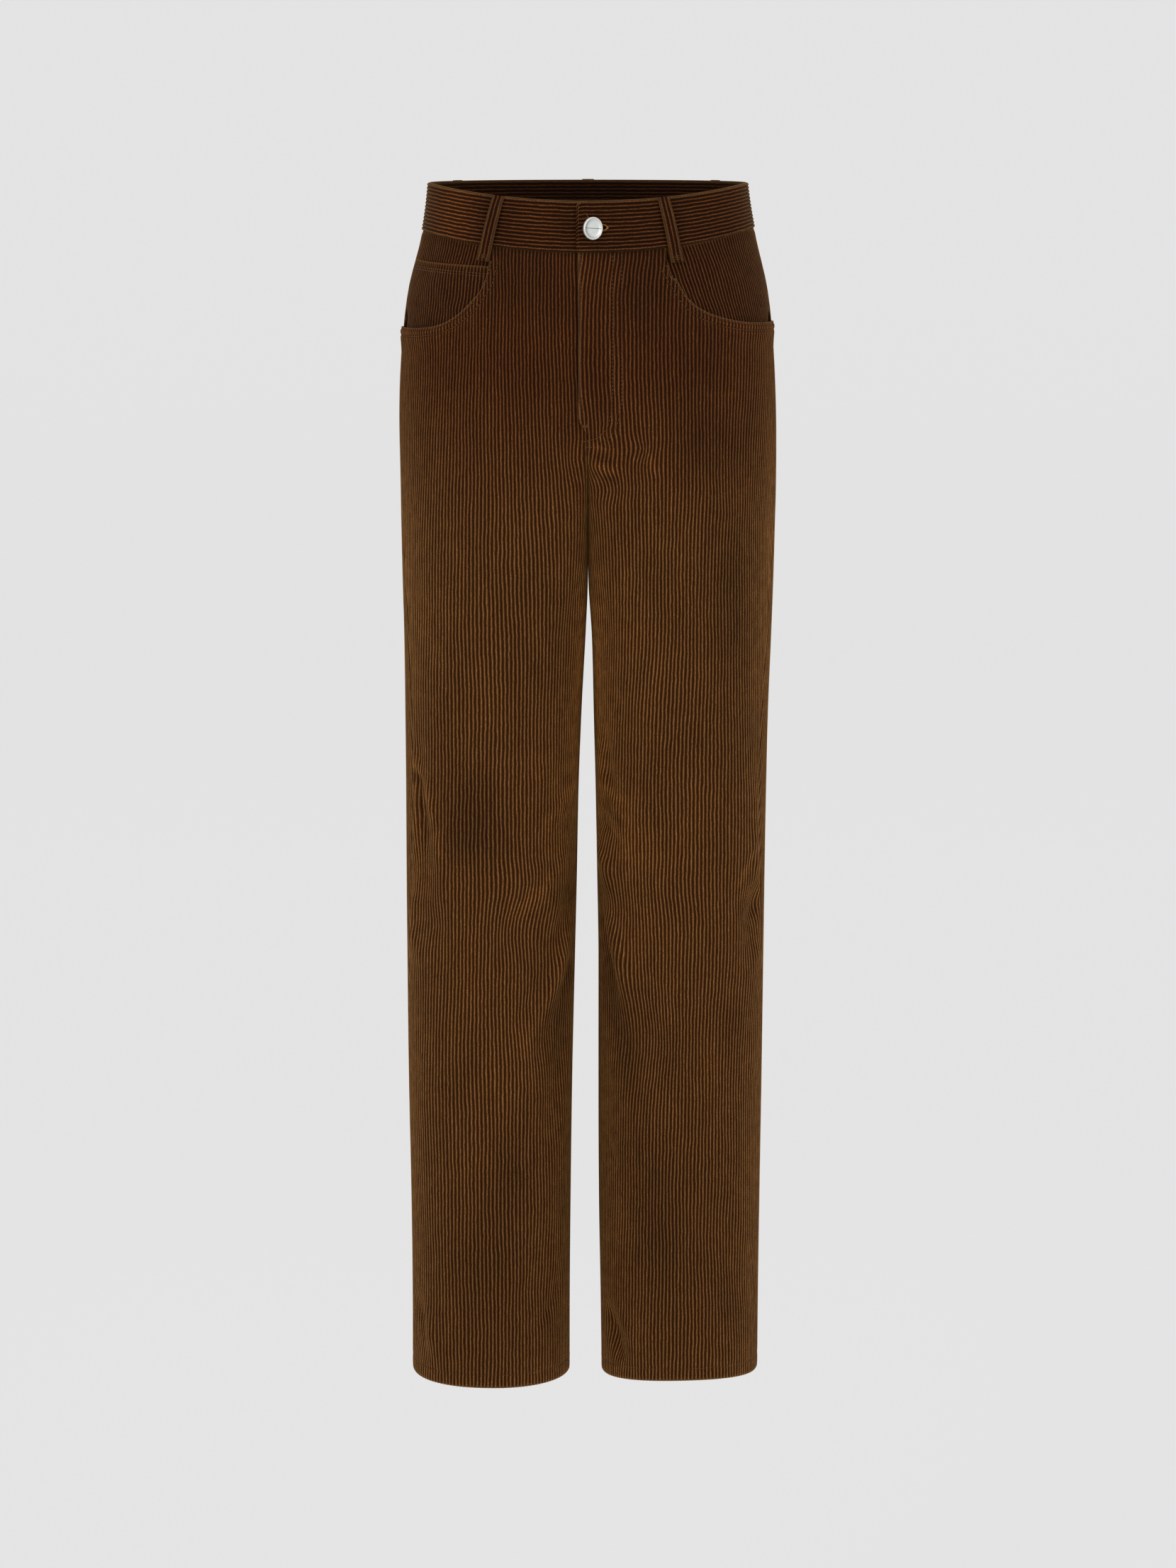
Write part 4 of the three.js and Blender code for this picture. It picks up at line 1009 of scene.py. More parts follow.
def ribbed_depth(name, a, z, u):
    """How deep a panel's ribbed face lies: WALE_SUNK - WALE_HEIGHT · wale(u), flat between the legs,
    rolled in at the edges and the hem, and pressed in along the hem's fold and the sewn rows."""
    low, high = panel_reach(name, z)
    to_edge = np.minimum(np.minimum(a - low, high - a), z[0] - z).clip(0)
    depth = WALE_SUNK - WALE_HEIGHT * wale(u) + fade(EDGE_ROLL[0], to_edge, EDGE_ROLL[1])
    between = ease((RISE_FRONT["top_z"] - z) / FLAT_BETWEEN_LEGS["over"])
    depth = depth * (1 - between * ease(1 - (a - low) / FLAT_BETWEEN_LEGS["reach"]))
    depth[-2:] += np.array(HEM_ROLL)[:, None]
    depth += fade(HEM_GROOVE[0], z - z[-1] - HEM_DEPTH, HEM_GROOVE[1])
    for line in sewn_rows(name):
        depth += fade(SEWN_GROOVE[0], away_from(line, a, z), SEWN_GROOVE[1])
    return depth


def panel_marks(name, a, z):
    """A panel's painted highlight along its hem, its scoop and the fly's lapping edge, and its painted
    light and shade: the listed patches, a painted shadow under the waistband and beside the fly,
    painted shade in the sewn rows and a painted highlight beside them."""
    leg = LEGS[side_of(name)]
    to_top = z[0] - z
    # A painted shadow under the waistband, where the scoop's painted highlight stops.
    under_band = ease((z[0] - BAND_SHADE_FROM["z"]) / BAND_SHADE_FROM["over"])
    # A painted highlight along the hem and the scoop; on the left front also along the fly's lapping
    # edge.
    rim = edge_highlight("hem", z - z[-1]) + edge_highlight("scoop", to_top) * (1 - under_band)
    lay_and_shade = fold_height(LAY_AND_SHADE[name], a, z) + BAND_SHADE[0] * np.exp(-to_top / BAND_SHADE[1]) * under_band
    if name == "front_left":
        rim += edge_highlight("fly", a - panel_reach(name, z)[0]) * (z > FLY_END_Z)
    # A painted shadow 1 mm off the fly's lapping edge.
    if name == "front_right":
        from_lap = a + leg.level(leg.front, z) - FLY_LAP - FLY_SHADE["off"]
        lay_and_shade += fade(FLY_SHADE["size"], from_lap, FLY_SHADE["reach"]) * (lap_width(z) / FLY_LAP)
    # Painted shade in each sewn row and a painted highlight beside it.
    for line in sewn_rows(name):
        near = away_from(line, a, z)
        (beside, wide), (within, narrow) = ROW_SHADE["beside"], ROW_SHADE["in"]
        lay_and_shade += fade(beside, near - ROW_SHADE["off"], wide) + fade(within, near, narrow)
    return rim.clip(0, 1), lay_and_shade


def panel(name):
    """A panel: ribbed outside, plain inside, closed along its edges and double at the hem."""
    leg = LEGS[side_of(name)]
    low, high = panel_reach(name, leg.z[(leg.z < -30) & (leg.z > HEM_Z - 8)])
    first_rib = math.floor(low.min() / WALE_PITCH) - SPARE_WALES
    last_rib = math.ceil(high.max() / WALE_PITCH) + SPARE_WALES
    ribs = np.arange(first_rib, last_rib)
    layers = {"outer": (ribs[:, None] + np.array(WALE_PHASES)).ravel(), "inner": ribs.astype(float)}
    points, faces, edges, uvs, edge_highlights, lays_and_shades, offset = [], [], {}, [], [], [], 0
    for layer, columns in layers.items():
        a, z, u, first, last = panel_grid(name, columns)
        if layer == "outer":
            depth = ribbed_depth(name, a, z, u)
        else:
            depth = np.full(a.shape, CLOTH)
            depth[-HEM_ROWS:] += CLOTH
        place, _ = cloth_at(name, a, z, depth)
        index, quads, triangles = grid_faces(first, last, a.shape[1], offset)
        rim, lay_and_shade = panel_marks(name, a, z)
        points.append(place.reshape(-1, 3))
        uvs.append(np.stack([u, z], axis=-1).reshape(-1, 2))
        edge_highlights.append(rim.ravel())
        lays_and_shades.append(lay_and_shade.ravel())
        edges[layer] = (index, a, first, last)
        if layer == "inner":
            quads, triangles = quads[:, ::-1], triangles[:, ::-1]
        faces.append((quads, triangles))
        offset += a.size
    outer, inner = edges["outer"], edges["inner"]
    left = [outer[0][1:, 0], outer[0][:-1, 0], inner[0][:-1, 0], inner[0][1:, 0]]
    right = [outer[0][:-1, -1], outer[0][1:, -1], inner[0][1:, -1], inner[0][:-1, -1]]
    rim_quads = np.concatenate([np.stack(left, -1), np.stack(right, -1)])
    ends = []
    for row in (0, -1):
        (o, oa, of, ol), (i, ia, jf, jl) = outer, inner
        outs, ins = slice(of[row], ol[row] + 1), slice(jf[row], jl[row] + 1)
        end = zipped(o[row, outs], i[row, ins], oa[row, outs], ia[row, ins])
        ends.append(end if row == 0 else end[:, ::-1])
    quads = np.concatenate([faces[0][0], faces[1][0], rim_quads])
    triangles = np.concatenate([faces[0][1], faces[1][1], *ends])
    inside = np.concatenate([
        np.zeros(len(faces[0][0])), np.ones(len(faces[1][0])), np.zeros(len(rim_quads)),
        np.zeros(len(faces[0][1])), np.ones(len(faces[1][1])), np.zeros(len(ends[0]) + len(ends[1])),
    ])
    # The marks: the painted highlight along the edges, and the painted light and shade on the pile.
    return make_piece(
        "cloth_" + name, to_side(name, np.concatenate(points)), quads, triangles, (CORD, BACKING),
        np.concatenate(uvs), {"rim": np.concatenate(edge_highlights), "pile_lay_and_shade": np.concatenate(lays_and_shades)}, inside,
        flip=name.startswith("back") != (side_of(name) == "right"),
    )


def rise_seam():
    """The seam allowance inside the rise: pressed open behind the seam from the waistband in front,
    down under the crotch and up to the waistband behind, so the seam is shut."""
    leg = LEGS["right"]
    z = leg.z[(leg.z <= -60) & (leg.z > CROTCH_Z)].astype(float)
    front = leg.place(z, lambda k: np.zeros(k.shape))[:, 1]
    back = leg.place(z, lambda k: leg.total[k])[:, 1]
    path = np.concatenate([np.stack([front, z], -1), np.stack([back, z], -1)[::-1]])
    steps = np.concatenate([[0], np.cumsum(np.hypot(*np.diff(path, axis=0).T))])
    fine = np.arange(0, steps[-1], 3)
    path = np.stack([np.interp(fine, steps, path[:, k]) for k in (0, 1)], -1)
    way = np.gradient(path, axis=0)
    way /= np.hypot(*way.T)[:, None]
    inwards = np.stack([-way[:, 1], way[:, 0]], -1)
    x = np.linspace(-ALLOWANCE["half"], ALLOWANCE["half"], 9)
    layers = []
    for off in (ALLOWANCE["off"], ALLOWANCE["off"] + ALLOWANCE["thickness"]):
        y, height = (path + inwards * off).T
        layers.append(np.stack(np.broadcast_arrays(x, y[:, None], height[:, None]), -1))
    quads = wall_faces(len(fine), len(x))
    return make_piece("cloth_rise_seam_allowance", layered(*layers), quads, [], (BACKING,))


def leg_seam(side, seam):
    """The allowance behind a side seam or an inseam: a narrow strip pressed open close to the cloth's
    plain side, down into the hem's fold."""
    leg = LEGS[side]
    z = np.arange(STRIP["top_z"][seam], HEM_Z + STRIP["above_hem"], -STRIP["step"])[:, None]
    across = np.linspace(-STRIP["half"], STRIP["half"], 5)
    z, across = np.broadcast_arrays(z, across)
    middle = leg.side_seam if seam == "side" else np.zeros(leg.LEVELS)
    points, out = leg.surface(z, lambda k: middle[k] + across)
    in_hem = ease((HEM_Z + HEM_DEPTH + STRIP["over_hem"] - z) / STRIP["over"])
    under = STRIP["off"] + (STRIP["in_hem"] - STRIP["off"]) * in_hem
    both = layered(*(points - out * (under + extra)[..., None] for extra in (0, STRIP["thickness"])))
    quads = wall_faces(*z.shape)
    name = "cloth_%s_seam_allowance_%s" % (seam, side)
    return make_piece(name, to_side(side, both), quads, [], (BACKING,), flip=side == "right")


def layered(outer, inner):
    """The points of a wall's outer grid, then those of its inner one."""
    return np.concatenate([outer.reshape(-1, 3), inner.reshape(-1, 3)])


def wall_faces(rows, columns, present=None):
    """Faces of a closed wall whose outer and inner grids have the same rows and columns: the outer
    grid's points come first. Cells that aren't present are left open, with a rim round them."""
    present = np.ones((rows - 1, columns - 1), bool) if present is None else present
    index = np.arange(rows * columns).reshape(rows, columns)
    a, b, c, d = index[:-1, :-1], index[1:, :-1], index[1:, 1:], index[:-1, 1:]
    outer = np.stack([a, b, c, d], -1)
    to_inner = rows * columns
    padded = np.pad(present, 1)
    beside = [padded[1:-1, :-2], padded[2:, 1:-1], padded[1:-1, 2:], padded[:-2, 1:-1]]
    found = [outer[present], (outer[present] + to_inner)[:, ::-1]]
    for k, there in enumerate(beside):
        open_edge = present & ~there
        p, q = outer[..., k][open_edge], outer[..., (k + 1) % 4][open_edge]
        found.append(np.stack([q, p, p + to_inner, q + to_inner], -1))
    return np.concatenate(found)


def band_length():
    """The way round the waist, at the level where the band is worked out."""
    return sum(leg.level(leg.total, BAND_LEVEL) for leg in LEGS.values())


def band_at(u, share, depth):
    """The waistband from its lapping end in front round the wearer's left, the back and the right:
    u is the distance along it, share the way down it, and depth how far under its outer face."""
    u, share, depth = np.broadcast_arrays(*(np.asarray(v, float) for v in (u, share, depth)))
    found = np.zeros(u.shape + (3,))
    outs = np.zeros(u.shape + (3,))
    left_total = LEGS["left"].level(LEGS["left"].total, BAND_LEVEL)
    for side, leg in LEGS.items():
        mine = (u <= left_total) == (side == "left")
        if not mine.any():
            continue
        s = u[mine] if side == "left" else band_length() - u[mine]
        total = leg.level(leg.total, BAND_LEVEL)
        length = lambda k: np.where(s < 0, s, s / total * leg.total[k])
        there = leg.place(np.full(s.shape, float(BAND_LEVEL)), length)
        in_front = there[:, 1] < 0
        top, bottom = band_top(side, there[:, 0], in_front), band_bottom(side, there[:, 0], in_front)
        from_corner = np.clip(BAND_CORNER - (u[mine] + BAND_LAP), 0, BAND_CORNER)
        corner = BAND_CORNER - np.sqrt(BAND_CORNER**2 - from_corner**2)
        z = top - corner + (bottom - top + corner) * share[mine]
        points, out = leg.surface(z, length)
        lift = BAND_LIFT * (1 - ease((u[mine] - BAND_FLAT) / BAND_BLEND))
        points = points + out * (BAND_PROUD + lift - depth[mine])[:, None]
        mirror = (1, 1, 1) if side == "left" else (-1, 1, 1)
        found[mine], outs[mine] = points * mirror, out * mirror
    return found, outs


BUTTON = {
    "x": 3.6, "z": -34.5, "radius": 9.9, "thickness": 2.4, "rim": 1.3, "hollow": 0.3, "edge": 0.5,
    "bevel": 0.15, "step": 0.1, "stem": 1.9, "tip": 1.1, "turn": 34, "clear": 6.2,
}
SCORE = {"inset": 0.4, "half": 0.22, "lean": -4, "over": (-0.05, 0.04)}
# steps: the points along the hole; taper: the length over which its ends narrow; parts and
# reach: how quickly and how far above and below it the band's rows stop giving way to it.
BUTTONHOLE = {"from": -2.5, "to": 15.5, "height": 4.8, "steps": 15, "taper": 7, "parts": 5, "reach": 16}
HOLE_MIDDLE = (WAIST_SIDE_Z - WAIST_FRONT_DIP - BUTTON["z"]) / BAND_FRONT_DEPTH
BAND_WALES = 13
BAND_END_STEPS = (0, 0.25, 0.9, 2.0, 3.4)
BAND_EDGE = {"depth": 1.1, "reach": 1.6}
# The band's inner face, off its outer: darker is the painted shade on it, in doublings of brightness.
BAND_INNER = {"off": 0.3, "ribs": 0.6, "darker": 0.5}
HOLE_STITCHES = {"count": 62, "along": 2.0, "down": 1.9}


def band_light_and_shade():
    """Painted light and shade on the waistband, lighter towards the sides in front and darker beside
    the
    front belt loops and round the back: the middle along it, the width and how much lighter.
    """
    around = band_length()
    back = LEGS["left"].level(LEGS["left"].total, BAND_LEVEL)
    return [
        (around - 126, 24, 0.95), (150, 24, 0.3), (around - 50, 18, 0.15), (78, 7, -0.3),
        (around - 90, 7, -0.4), (30, 26, -0.15), (back, 90, -0.8), (back - 150, 60, -0.4),
        (back + 150, 60, -0.4),
    ]


def waistband():
    """Cloth folded over along its top edge, with its wales running round the waist."""
    step = 3
    start = -BAND_LAP + np.array(BAND_END_STEPS)
    hole = np.linspace(BUTTONHOLE["from"], BUTTONHOLE["to"], BUTTONHOLE["steps"])
    rest = np.arange(BUTTONHOLE["to"] + step, band_length() + UNDERLAP, step)
    us = np.concatenate([start, hole, rest, [band_length() + UNDERLAP]])
    phases = (np.arange(BAND_WALES)[:, None] + np.array(WALE_PHASES)).ravel() / BAND_WALES
    shares = np.concatenate([phases, [1.0]])
    near = int(np.abs(shares - HOLE_MIDDLE).argmin())
    u, share = np.meshgrid(us, shares)
    # The slit of the buttonhole opens between two rows, which part around it.
    ends = np.minimum(us - BUTTONHOLE["from"], BUTTONHOLE["to"] - us) / BUTTONHOLE["taper"]
    half = np.sqrt(np.clip(ends, 0, 1)) * BUTTONHOLE["height"] / 2 / BAND_FRONT_DEPTH
    away = np.abs(share - HOLE_MIDDLE) * BAND_FRONT_DEPTH
    side = np.where(np.arange(len(shares)) <= near, -1, 1)[:, None]
    parting = np.exp(-away / BUTTONHOLE["parts"]) * np.clip(1 - away / BUTTONHOLE["reach"], 0, 1)
    share = share + side * half * parting
    present = np.ones((len(shares) - 1, len(us) - 1), bool)
    inside = (us[:-1] >= BUTTONHOLE["from"] - 0.01) & (us[1:] <= BUTTONHOLE["to"] + 0.01)
    present[near, inside] = False
    wales = np.repeat(shares[:, None] * BAND_WALES, len(us), axis=1)
    rib = wale(wales)
    edge = np.minimum(share, 1 - share) * BAND_FRONT_DEPTH
    round_off = BAND_EDGE["depth"] * np.clip(1 - edge / BAND_EDGE["reach"], 0, 1) ** 2
    outer, _ = band_at(u, share, WALE_SUNK - WALE_HEIGHT * rib + round_off)
    within = BAND_THICKNESS - BAND_INNER["off"] + BAND_INNER["ribs"] * (1 - rib) - round_off
    inner, _ = band_at(u, share, within)
    quads = wall_faces(len(shares), len(us), present)
    uv = np.stack([wales, u], -1).reshape(-1, 2)
    # A painted highlight along the band's folded top edge.
    rim = edge_highlight("band", share * BAND_FRONT_DEPTH).ravel()
    # Painted light and shade along the band, the inner face darker by a painted shade.
    lay_and_shade = sum(fade(height, u - at, width) for at, width, height in band_light_and_shade()).ravel()
    marks = {"rim": np.tile(rim, 2), "pile_lay_and_shade": np.concatenate([lay_and_shade, lay_and_shade - BAND_INNER["darker"]])}
    uvs = np.tile(uv, (2, 1))
    return make_piece("cloth_waistband", layered(outer, inner), quads, [], (WAIST_CORD,), uvs, marks)


def across_front(name, x, z):
    """The distance from a front panel's middle line at which it lies x from the middle, in halvings."""
    low, high = panel_reach(name, z)
    leg = LEGS[side_of(name)]
    low = low - 12.0
    for _ in range(26):
        a = (low + high) / 2
        inside = leg.place(z, lambda k: leg.front[k] + a)[..., 0] < x
        low, high = np.where(inside, a, low), np.where(inside, high, a)
    return low


def forward_at_seam(a, last, z):
    """How far a pocket's pieces have come forward: wholly at the side seam above the scoop's end."""
    near = ease((a - last + FORWARD["from_seam"]) / FORWARD["over"])
    return near * ease((z - FORWARD["above_z"]) / FORWARD["over_z"])


def behind_front(name, piece, inner_x, shape, height_at, columns, rows, folds=(), clear=0.0):
    """A flat piece behind a front panel, from inner_x out to the side seam. Its wales lie at
    a + slant · z + wave · sin(z / down + a / across)."""
    leg = LEGS[side_of(name)]
    across, down = np.meshgrid(np.linspace(0, 1, columns), np.linspace(0, 1, rows))
    z = height_at(across, down)
    first = across_front(name, np.full(z.shape, float(inner_x)), z)
    _, last = panel_reach(name, z)
    a = first + (last - clear - first) * across
    points, out = leg.surface(z, lambda k: leg.front[k] + a)
    waved = POCKET_WALES["wave"] * np.sin(z / POCKET_WALES["down"] + a / POCKET_WALES["across"])
    u = (a + shape["slant"] * (z - POCKET_WALES["from_z"]) + waved) / WALE_PITCH
    low, high = shape["forward"]
    reach = low + (high - low) * ease((z - FORWARD["coin_z"]) / FORWARD["coin_over"])
    under = shape["depth"] - reach * forward_at_seam(a, last, z) - fold_height(folds, a, z)
    outer = points - out * (under + POCKET_WALES["height"] * (1 - wale(u)))[..., None]
    inner = points - out * (under + shape["thickness"])[..., None]
    quads = wall_faces(rows, columns)
    uv = np.stack([u, z], -1).reshape(-1, 2)
    # A painted highlight along the folded top edge.
    rim = edge_highlight("fold", z.max(axis=0) - z).ravel()
    return make_piece(
        "cloth_" + piece, to_side(name, layered(outer, inner)), quads, [], (WAIST_CORD,),
        np.tile(uv, (2, 1)), {"rim": np.tile(rim, 2)}, flip=side_of(name) == "right",
    )


def pocket_facing(side):
    """The facing seen over a pocket's scoop, from the waistband down past the scoop's lowest point."""
    name = "front_" + side
    inner_x = SCOOPS[side]["x"][0] - FACING["under"]
    leg = LEGS[side]
    level = np.array(FACING["top_z"])
    low = across_front(name, np.array(float(inner_x)), level)
    _, high = panel_reach(name, level)

    def height_at(across, down):
        a = low + (high - low) * across
        xy = leg.place(np.full(a.shape, FACING["top_z"]), lambda k: leg.front[k] + a)
        top = band_bottom(side, xy[..., 0], xy[..., 1] < 0) - SEAM_GAP
        return top + (FACING["bottom_z"] - top) * down

    shape = {key: FACING[key][side] for key in ("depth", "slant", "forward")}
    shape["thickness"] = FACING["thickness"]
    return behind_front(name, "pocket_facing_" + side, inner_x, shape, height_at, 181, 36)


def coin_pocket():
    """The patch pocket on the right facing, its top edge a little lower towards the middle."""

    def height_at(across, down):
        return COIN["top_z"] - COIN["inner_drop"] * (1 - across) - COIN["height"] * down

    return behind_front(
        "front_right", "coin_pocket", COIN["inner_x"], COIN, height_at, 161, 36,
        folds=COIN_FOLDS, clear=COIN["clear"],
    )


LOOP = {"width": 10.6, "thickness": 2.2, "slot": 3.4, "seat": 0.35, "above": 1.2, "below": 14}
LOOP_ARCH = {"from": 0.06, "over": 0.8, "power": 0.7}
LOOP_FACE = {
    "wales": 3, "ribs": 0.35, "round": 0.8, "round_over": 1.2, "inner_round": 0.4, "length": 60,
    "channel": 0.35, "channel_at": 2.2, "channel_reach": 0.5,
}
# Where a loop's rows and the three rows of its bar tack lie, as shares of its width and length.
LOOP_SEWN = {"rows": (0.2, 0.8), "under": 0.3, "tacks": (0.905, 0.93, 0.955), "tack_under": 0.1}
# Each belt loop: its side, its distance round the band from the middle of the front (None: the centre
# back) and the degrees that it leans.
LOOPS = [
    ("belt_loop_front_right", "right", 79, 9),
    ("belt_loop_front_left", "left", 66, 8),
    ("belt_loop_back_right", "right", 262, -3),
    ("belt_loop_back_left", "left", 266, 3),
    ("belt_loop_centre_back", "left", None, 0),
]


def loop_at(side, around, lean, across, down, off):
    """A belt loop's places: across and down it from 0 to 1, and off its inner face in millimetres."""
    left_total = LEGS["left"].level(LEGS["left"].total, BAND_LEVEL)
    middle = left_total if around is None else around if side == "left" else band_length() - around
    outward = 1 if side == "left" else -1
    u = middle + (across - 0.5) * LOOP["width"] + outward * lean * down
    top, bottom = band_at(u, 0, 0)[0][..., 2], band_at(u, 1, 0)[0][..., 2]
    high, low = top + LOOP["above"], bottom - LOOP["below"]
    z = high + (low - high) * down
    along = np.clip((down - LOOP_ARCH["from"]) / LOOP_ARCH["over"], 0, 1)
    arch = np.sin(np.pi * along) ** LOOP_ARCH["power"]
    share = np.maximum(0, (top - z) / (top - bottom))
    return band_at(u, share, -(LOOP["seat"] + LOOP["slot"] * arch + off))


def belt_loop(piece, side, around, lean):
    """A folded strip, thickest along its two sewn edges, that stands off the band between its ends."""
    columns, rows = 17, 41
    across, down = np.meshgrid(np.linspace(0, 1, columns), np.linspace(0, 1, rows))
    u = across * LOOP_FACE["wales"]
    edge = np.minimum(across, 1 - across) * LOOP["width"]
    round_off = LOOP_FACE["round"] * np.clip(1 - edge / LOOP_FACE["round_over"], 0, 1) ** 2
    channel = fade(LOOP_FACE["channel"], edge - LOOP_FACE["channel_at"], LOOP_FACE["channel_reach"])
    face = LOOP["thickness"] - LOOP_FACE["ribs"] * (1 - wale(u)) - round_off - channel
    outer, _ = loop_at(side, around, lean, across, down, face)
    inner, _ = loop_at(side, around, lean, across, down, round_off * LOOP_FACE["inner_round"])
    quads = wall_faces(rows, columns)
    uv = np.stack([u, down * LOOP_FACE["length"]], -1).reshape(-1, 2)
    # A painted highlight along the loop's edges.
    marks = {"rim": np.tile(edge_highlight("fold", edge).ravel(), 2)}
    points = layered(outer, inner)
    return make_piece("cloth_" + piece, points, quads, [], (WAIST_CORD,), np.tile(uv, (2, 1)), marks)


def turned(profile, count):
    """A profile of (radius, height) places carried round +Z: its points, ring by ring, the quads
    between the rings, and each point's own place and its neighbour's in a ring."""
    radius, height = np.array(profile, float).T
    angle = np.arange(count) / count * 2 * np.pi
    x, y = radius[:, None] * np.cos(angle), radius[:, None] * np.sin(angle)
    points = np.stack([x, y, np.broadcast_to(height[:, None], x.shape)], -1).reshape(-1, 3)
    here, there = np.arange(count), (np.arange(count) + 1) % count
    ring = np.arange(len(radius) - 1)[:, None] * count
    quads = np.stack([ring + here, ring + there, ring + count + there, ring + count + here], -1)
    return points, quads.reshape(-1, 4), here, there


def button():
    """A flat metal disc with a thin raised rim, turned on its axis from a profile, and a scored line
    across its face."""
    turn = math.radians(BUTTON["turn"])
    stem = (BUTTON["clear"] + BAND_LIFT - 2 * SEAM_GAP) / math.cos(turn)
    r, t, e, b = BUTTON["radius"], BUTTON["thickness"], BUTTON["edge"], BUTTON["bevel"]
    in_rim = r - BUTTON["rim"]
    face = t - BUTTON["hollow"]
    profile = [
        (BUTTON["tip"], e - stem), (BUTTON["stem"], BUTTON["stem"] - stem), (BUTTON["stem"], -2 * e),
        (r - e, 0), (r - b, b), (r, e), (r, t - e), (r - b, t - b), (r - e, t), (in_rim, t),
        (in_rim - b, t - BUTTON["step"]), (in_rim - BUTTON["hollow"], face), (r / 2, face),
    ]
    points, quads, here, there = turned(profile, 72)
    low, high = len(points), len(points) + 1
    last = len(points) - len(here)
    triangles = np.concatenate([
        np.stack([there, here, np.full(len(here), low)], -1),
        np.stack([last + here, last + there, np.full(len(here), high)], -1),
    ])
    # The line across the face: a thin slab of the darker zinc, level with the face.
    reach, half, lean = in_rim - SCORE["inset"], SCORE["half"], math.radians(SCORE["lean"])
    ends = np.array([(-reach, -half), (reach, -half), (reach, half), (-reach, half)])
    ends = ends @ np.array([[math.cos(lean), math.sin(lean)], [-math.sin(lean), math.cos(lean)]])
    score = np.concatenate([np.column_stack([ends, np.full(4, face + over)]) for over in SCORE["over"]])
    box = [(4, 5, 6, 7), (3, 2, 1, 0), (0, 1, 5, 4), (1, 2, 6, 5), (2, 3, 7, 6), (3, 0, 4, 7)]
    quads = np.concatenate([quads, np.array(box) + high + 1])
    points = np.concatenate([points, [(0, 0, -stem), (0, 0, face)], score])
    in_score = np.concatenate([np.zeros(len(quads) - 6), np.ones(6), np.zeros(len(triangles))])
    # The disc's own axis is turned to the front and then towards the wearer's left.
    facing = np.array([math.sin(turn), -math.cos(turn), 0])
    side = np.array([math.cos(turn), math.sin(turn), 0])
    up = np.array([0, 0, 1])
    seat, _ = band_at(np.array(float(BUTTON["x"])), 0.5, 0)
    origin = np.array([BUTTON["x"], seat[1] - BUTTON["clear"], BUTTON["z"]])
    placed = origin + points[:, :1] * side + points[:, 1:2] * up + points[:, 2:] * facing
    return make_piece("metal_button", placed, quads, triangles, (SATIN_ZINC, DARK_ZINC), inner=in_score)


def stitches(name, lines, material, pitch=3.4, share=0.78, radius=0.36, lift=0.25, rings=5):
    """Thread along each line of points and outward directions: every stitch is a tube of six sides
    that rises from the cloth and dips back in, r = radius · sin(πt)^0.5, height = lift · sin(πt)."""
    sides = 6
    t = np.linspace(0.02, 0.98, rings)
    angle = np.arange(sides) / sides * 2 * np.pi
    points, quads, count = [], [], 0
    for path, out in lines:
        steps = np.linalg.norm(np.diff(path, axis=0), axis=1)
        lengths = np.concatenate([[0], np.cumsum(steps)])
        number = max(1, int(lengths[-1] / pitch + 0.02))
        begin = np.arange(number)[:, None] * pitch + t * pitch * share
        middle, up = (
            np.stack([np.interp(begin, lengths, v[:, i]) for i in range(3)], -1) for v in (path, out)
        )
        up = up / np.linalg.norm(up, axis=-1, keepdims=True)
        ahead = np.gradient(middle, axis=1)
        beside = np.cross(up, ahead)
        beside /= np.linalg.norm(beside, axis=-1, keepdims=True)
        thick = radius * np.sin(np.pi * t) ** 0.5
        middle = middle + up * (lift * np.sin(np.pi * t))[:, None]
        ring = np.cos(angle)[:, None] * up[:, :, None] + np.sin(angle)[:, None] * beside[:, :, None]
        points.append((middle[:, :, None] + ring * thick[:, None, None]).reshape(-1, 3))
        base = count + np.arange(number)[:, None, None] * sides * rings
        k = base + np.arange(rings - 1)[:, None] * sides
        i, j = np.arange(sides), (np.arange(sides) + 1) % sides
        quads.append(np.stack([k + i, k + j, k + sides + j, k + sides + i], -1).reshape(-1, 4))
        for end, order in ((0, (0, 3, 2, 1)), ((rings - 1) * sides, (0, 1, 2, 3))):
            for first in ((0, 1, 2, 3), (0, 3, 4, 5)):
                corners = [first[o] for o in order]
                quads.append((base[:, 0] + end + np.array(corners)).reshape(-1, 4))
        count += number * sides * rings
    return make_piece(name, np.concatenate(points), np.concatenate(quads), [], (material,))


def hem_row(name):
    """The hem's row of stitches, 12 mm above its lower edge all round the panel."""
    low, high = panel_reach(name, np.array(float(HEM_Z + HEM_DEPTH)))
    a = np.linspace(low + HEM_ROW_INSET, high - HEM_ROW_INSET, 60)
    z = HEM_Z + HEM_DEPTH + hem_rise(name, a) * HEM_SHARE
    points, out = cloth_at(name, a, z, ROW_UNDER["panel"])
    return to_side(name, points), to_side(name, out)


def panel_rows(name):
    """Every sewn line of a panel in its place, with outward directions."""
    lines = [hem_row(name)] + (fly_edge() if name == "front_left" else [])
    for row in sewn_rows(name):
        points, out = cloth_at(name, row[:, 0], row[:, 1], ROW_UNDER["panel"])
        lines.append((to_side(name, points), to_side(name, out)))
    return lines


def band_rows():
    """Rows along the waistband's top and bottom edges and down its lapping end."""
    first = BAND_ROWS["inset"] - BAND_LAP
    u = np.arange(first, band_length() - 1, 2)
    down = np.linspace(*BAND_ROWS["end"], 24)
    lines = [band_at(u, share, ROW_UNDER["band"]) for share in BAND_ROWS["shares"]]
    return lines + [band_at(np.full(len(down), first), down, 0.0)]


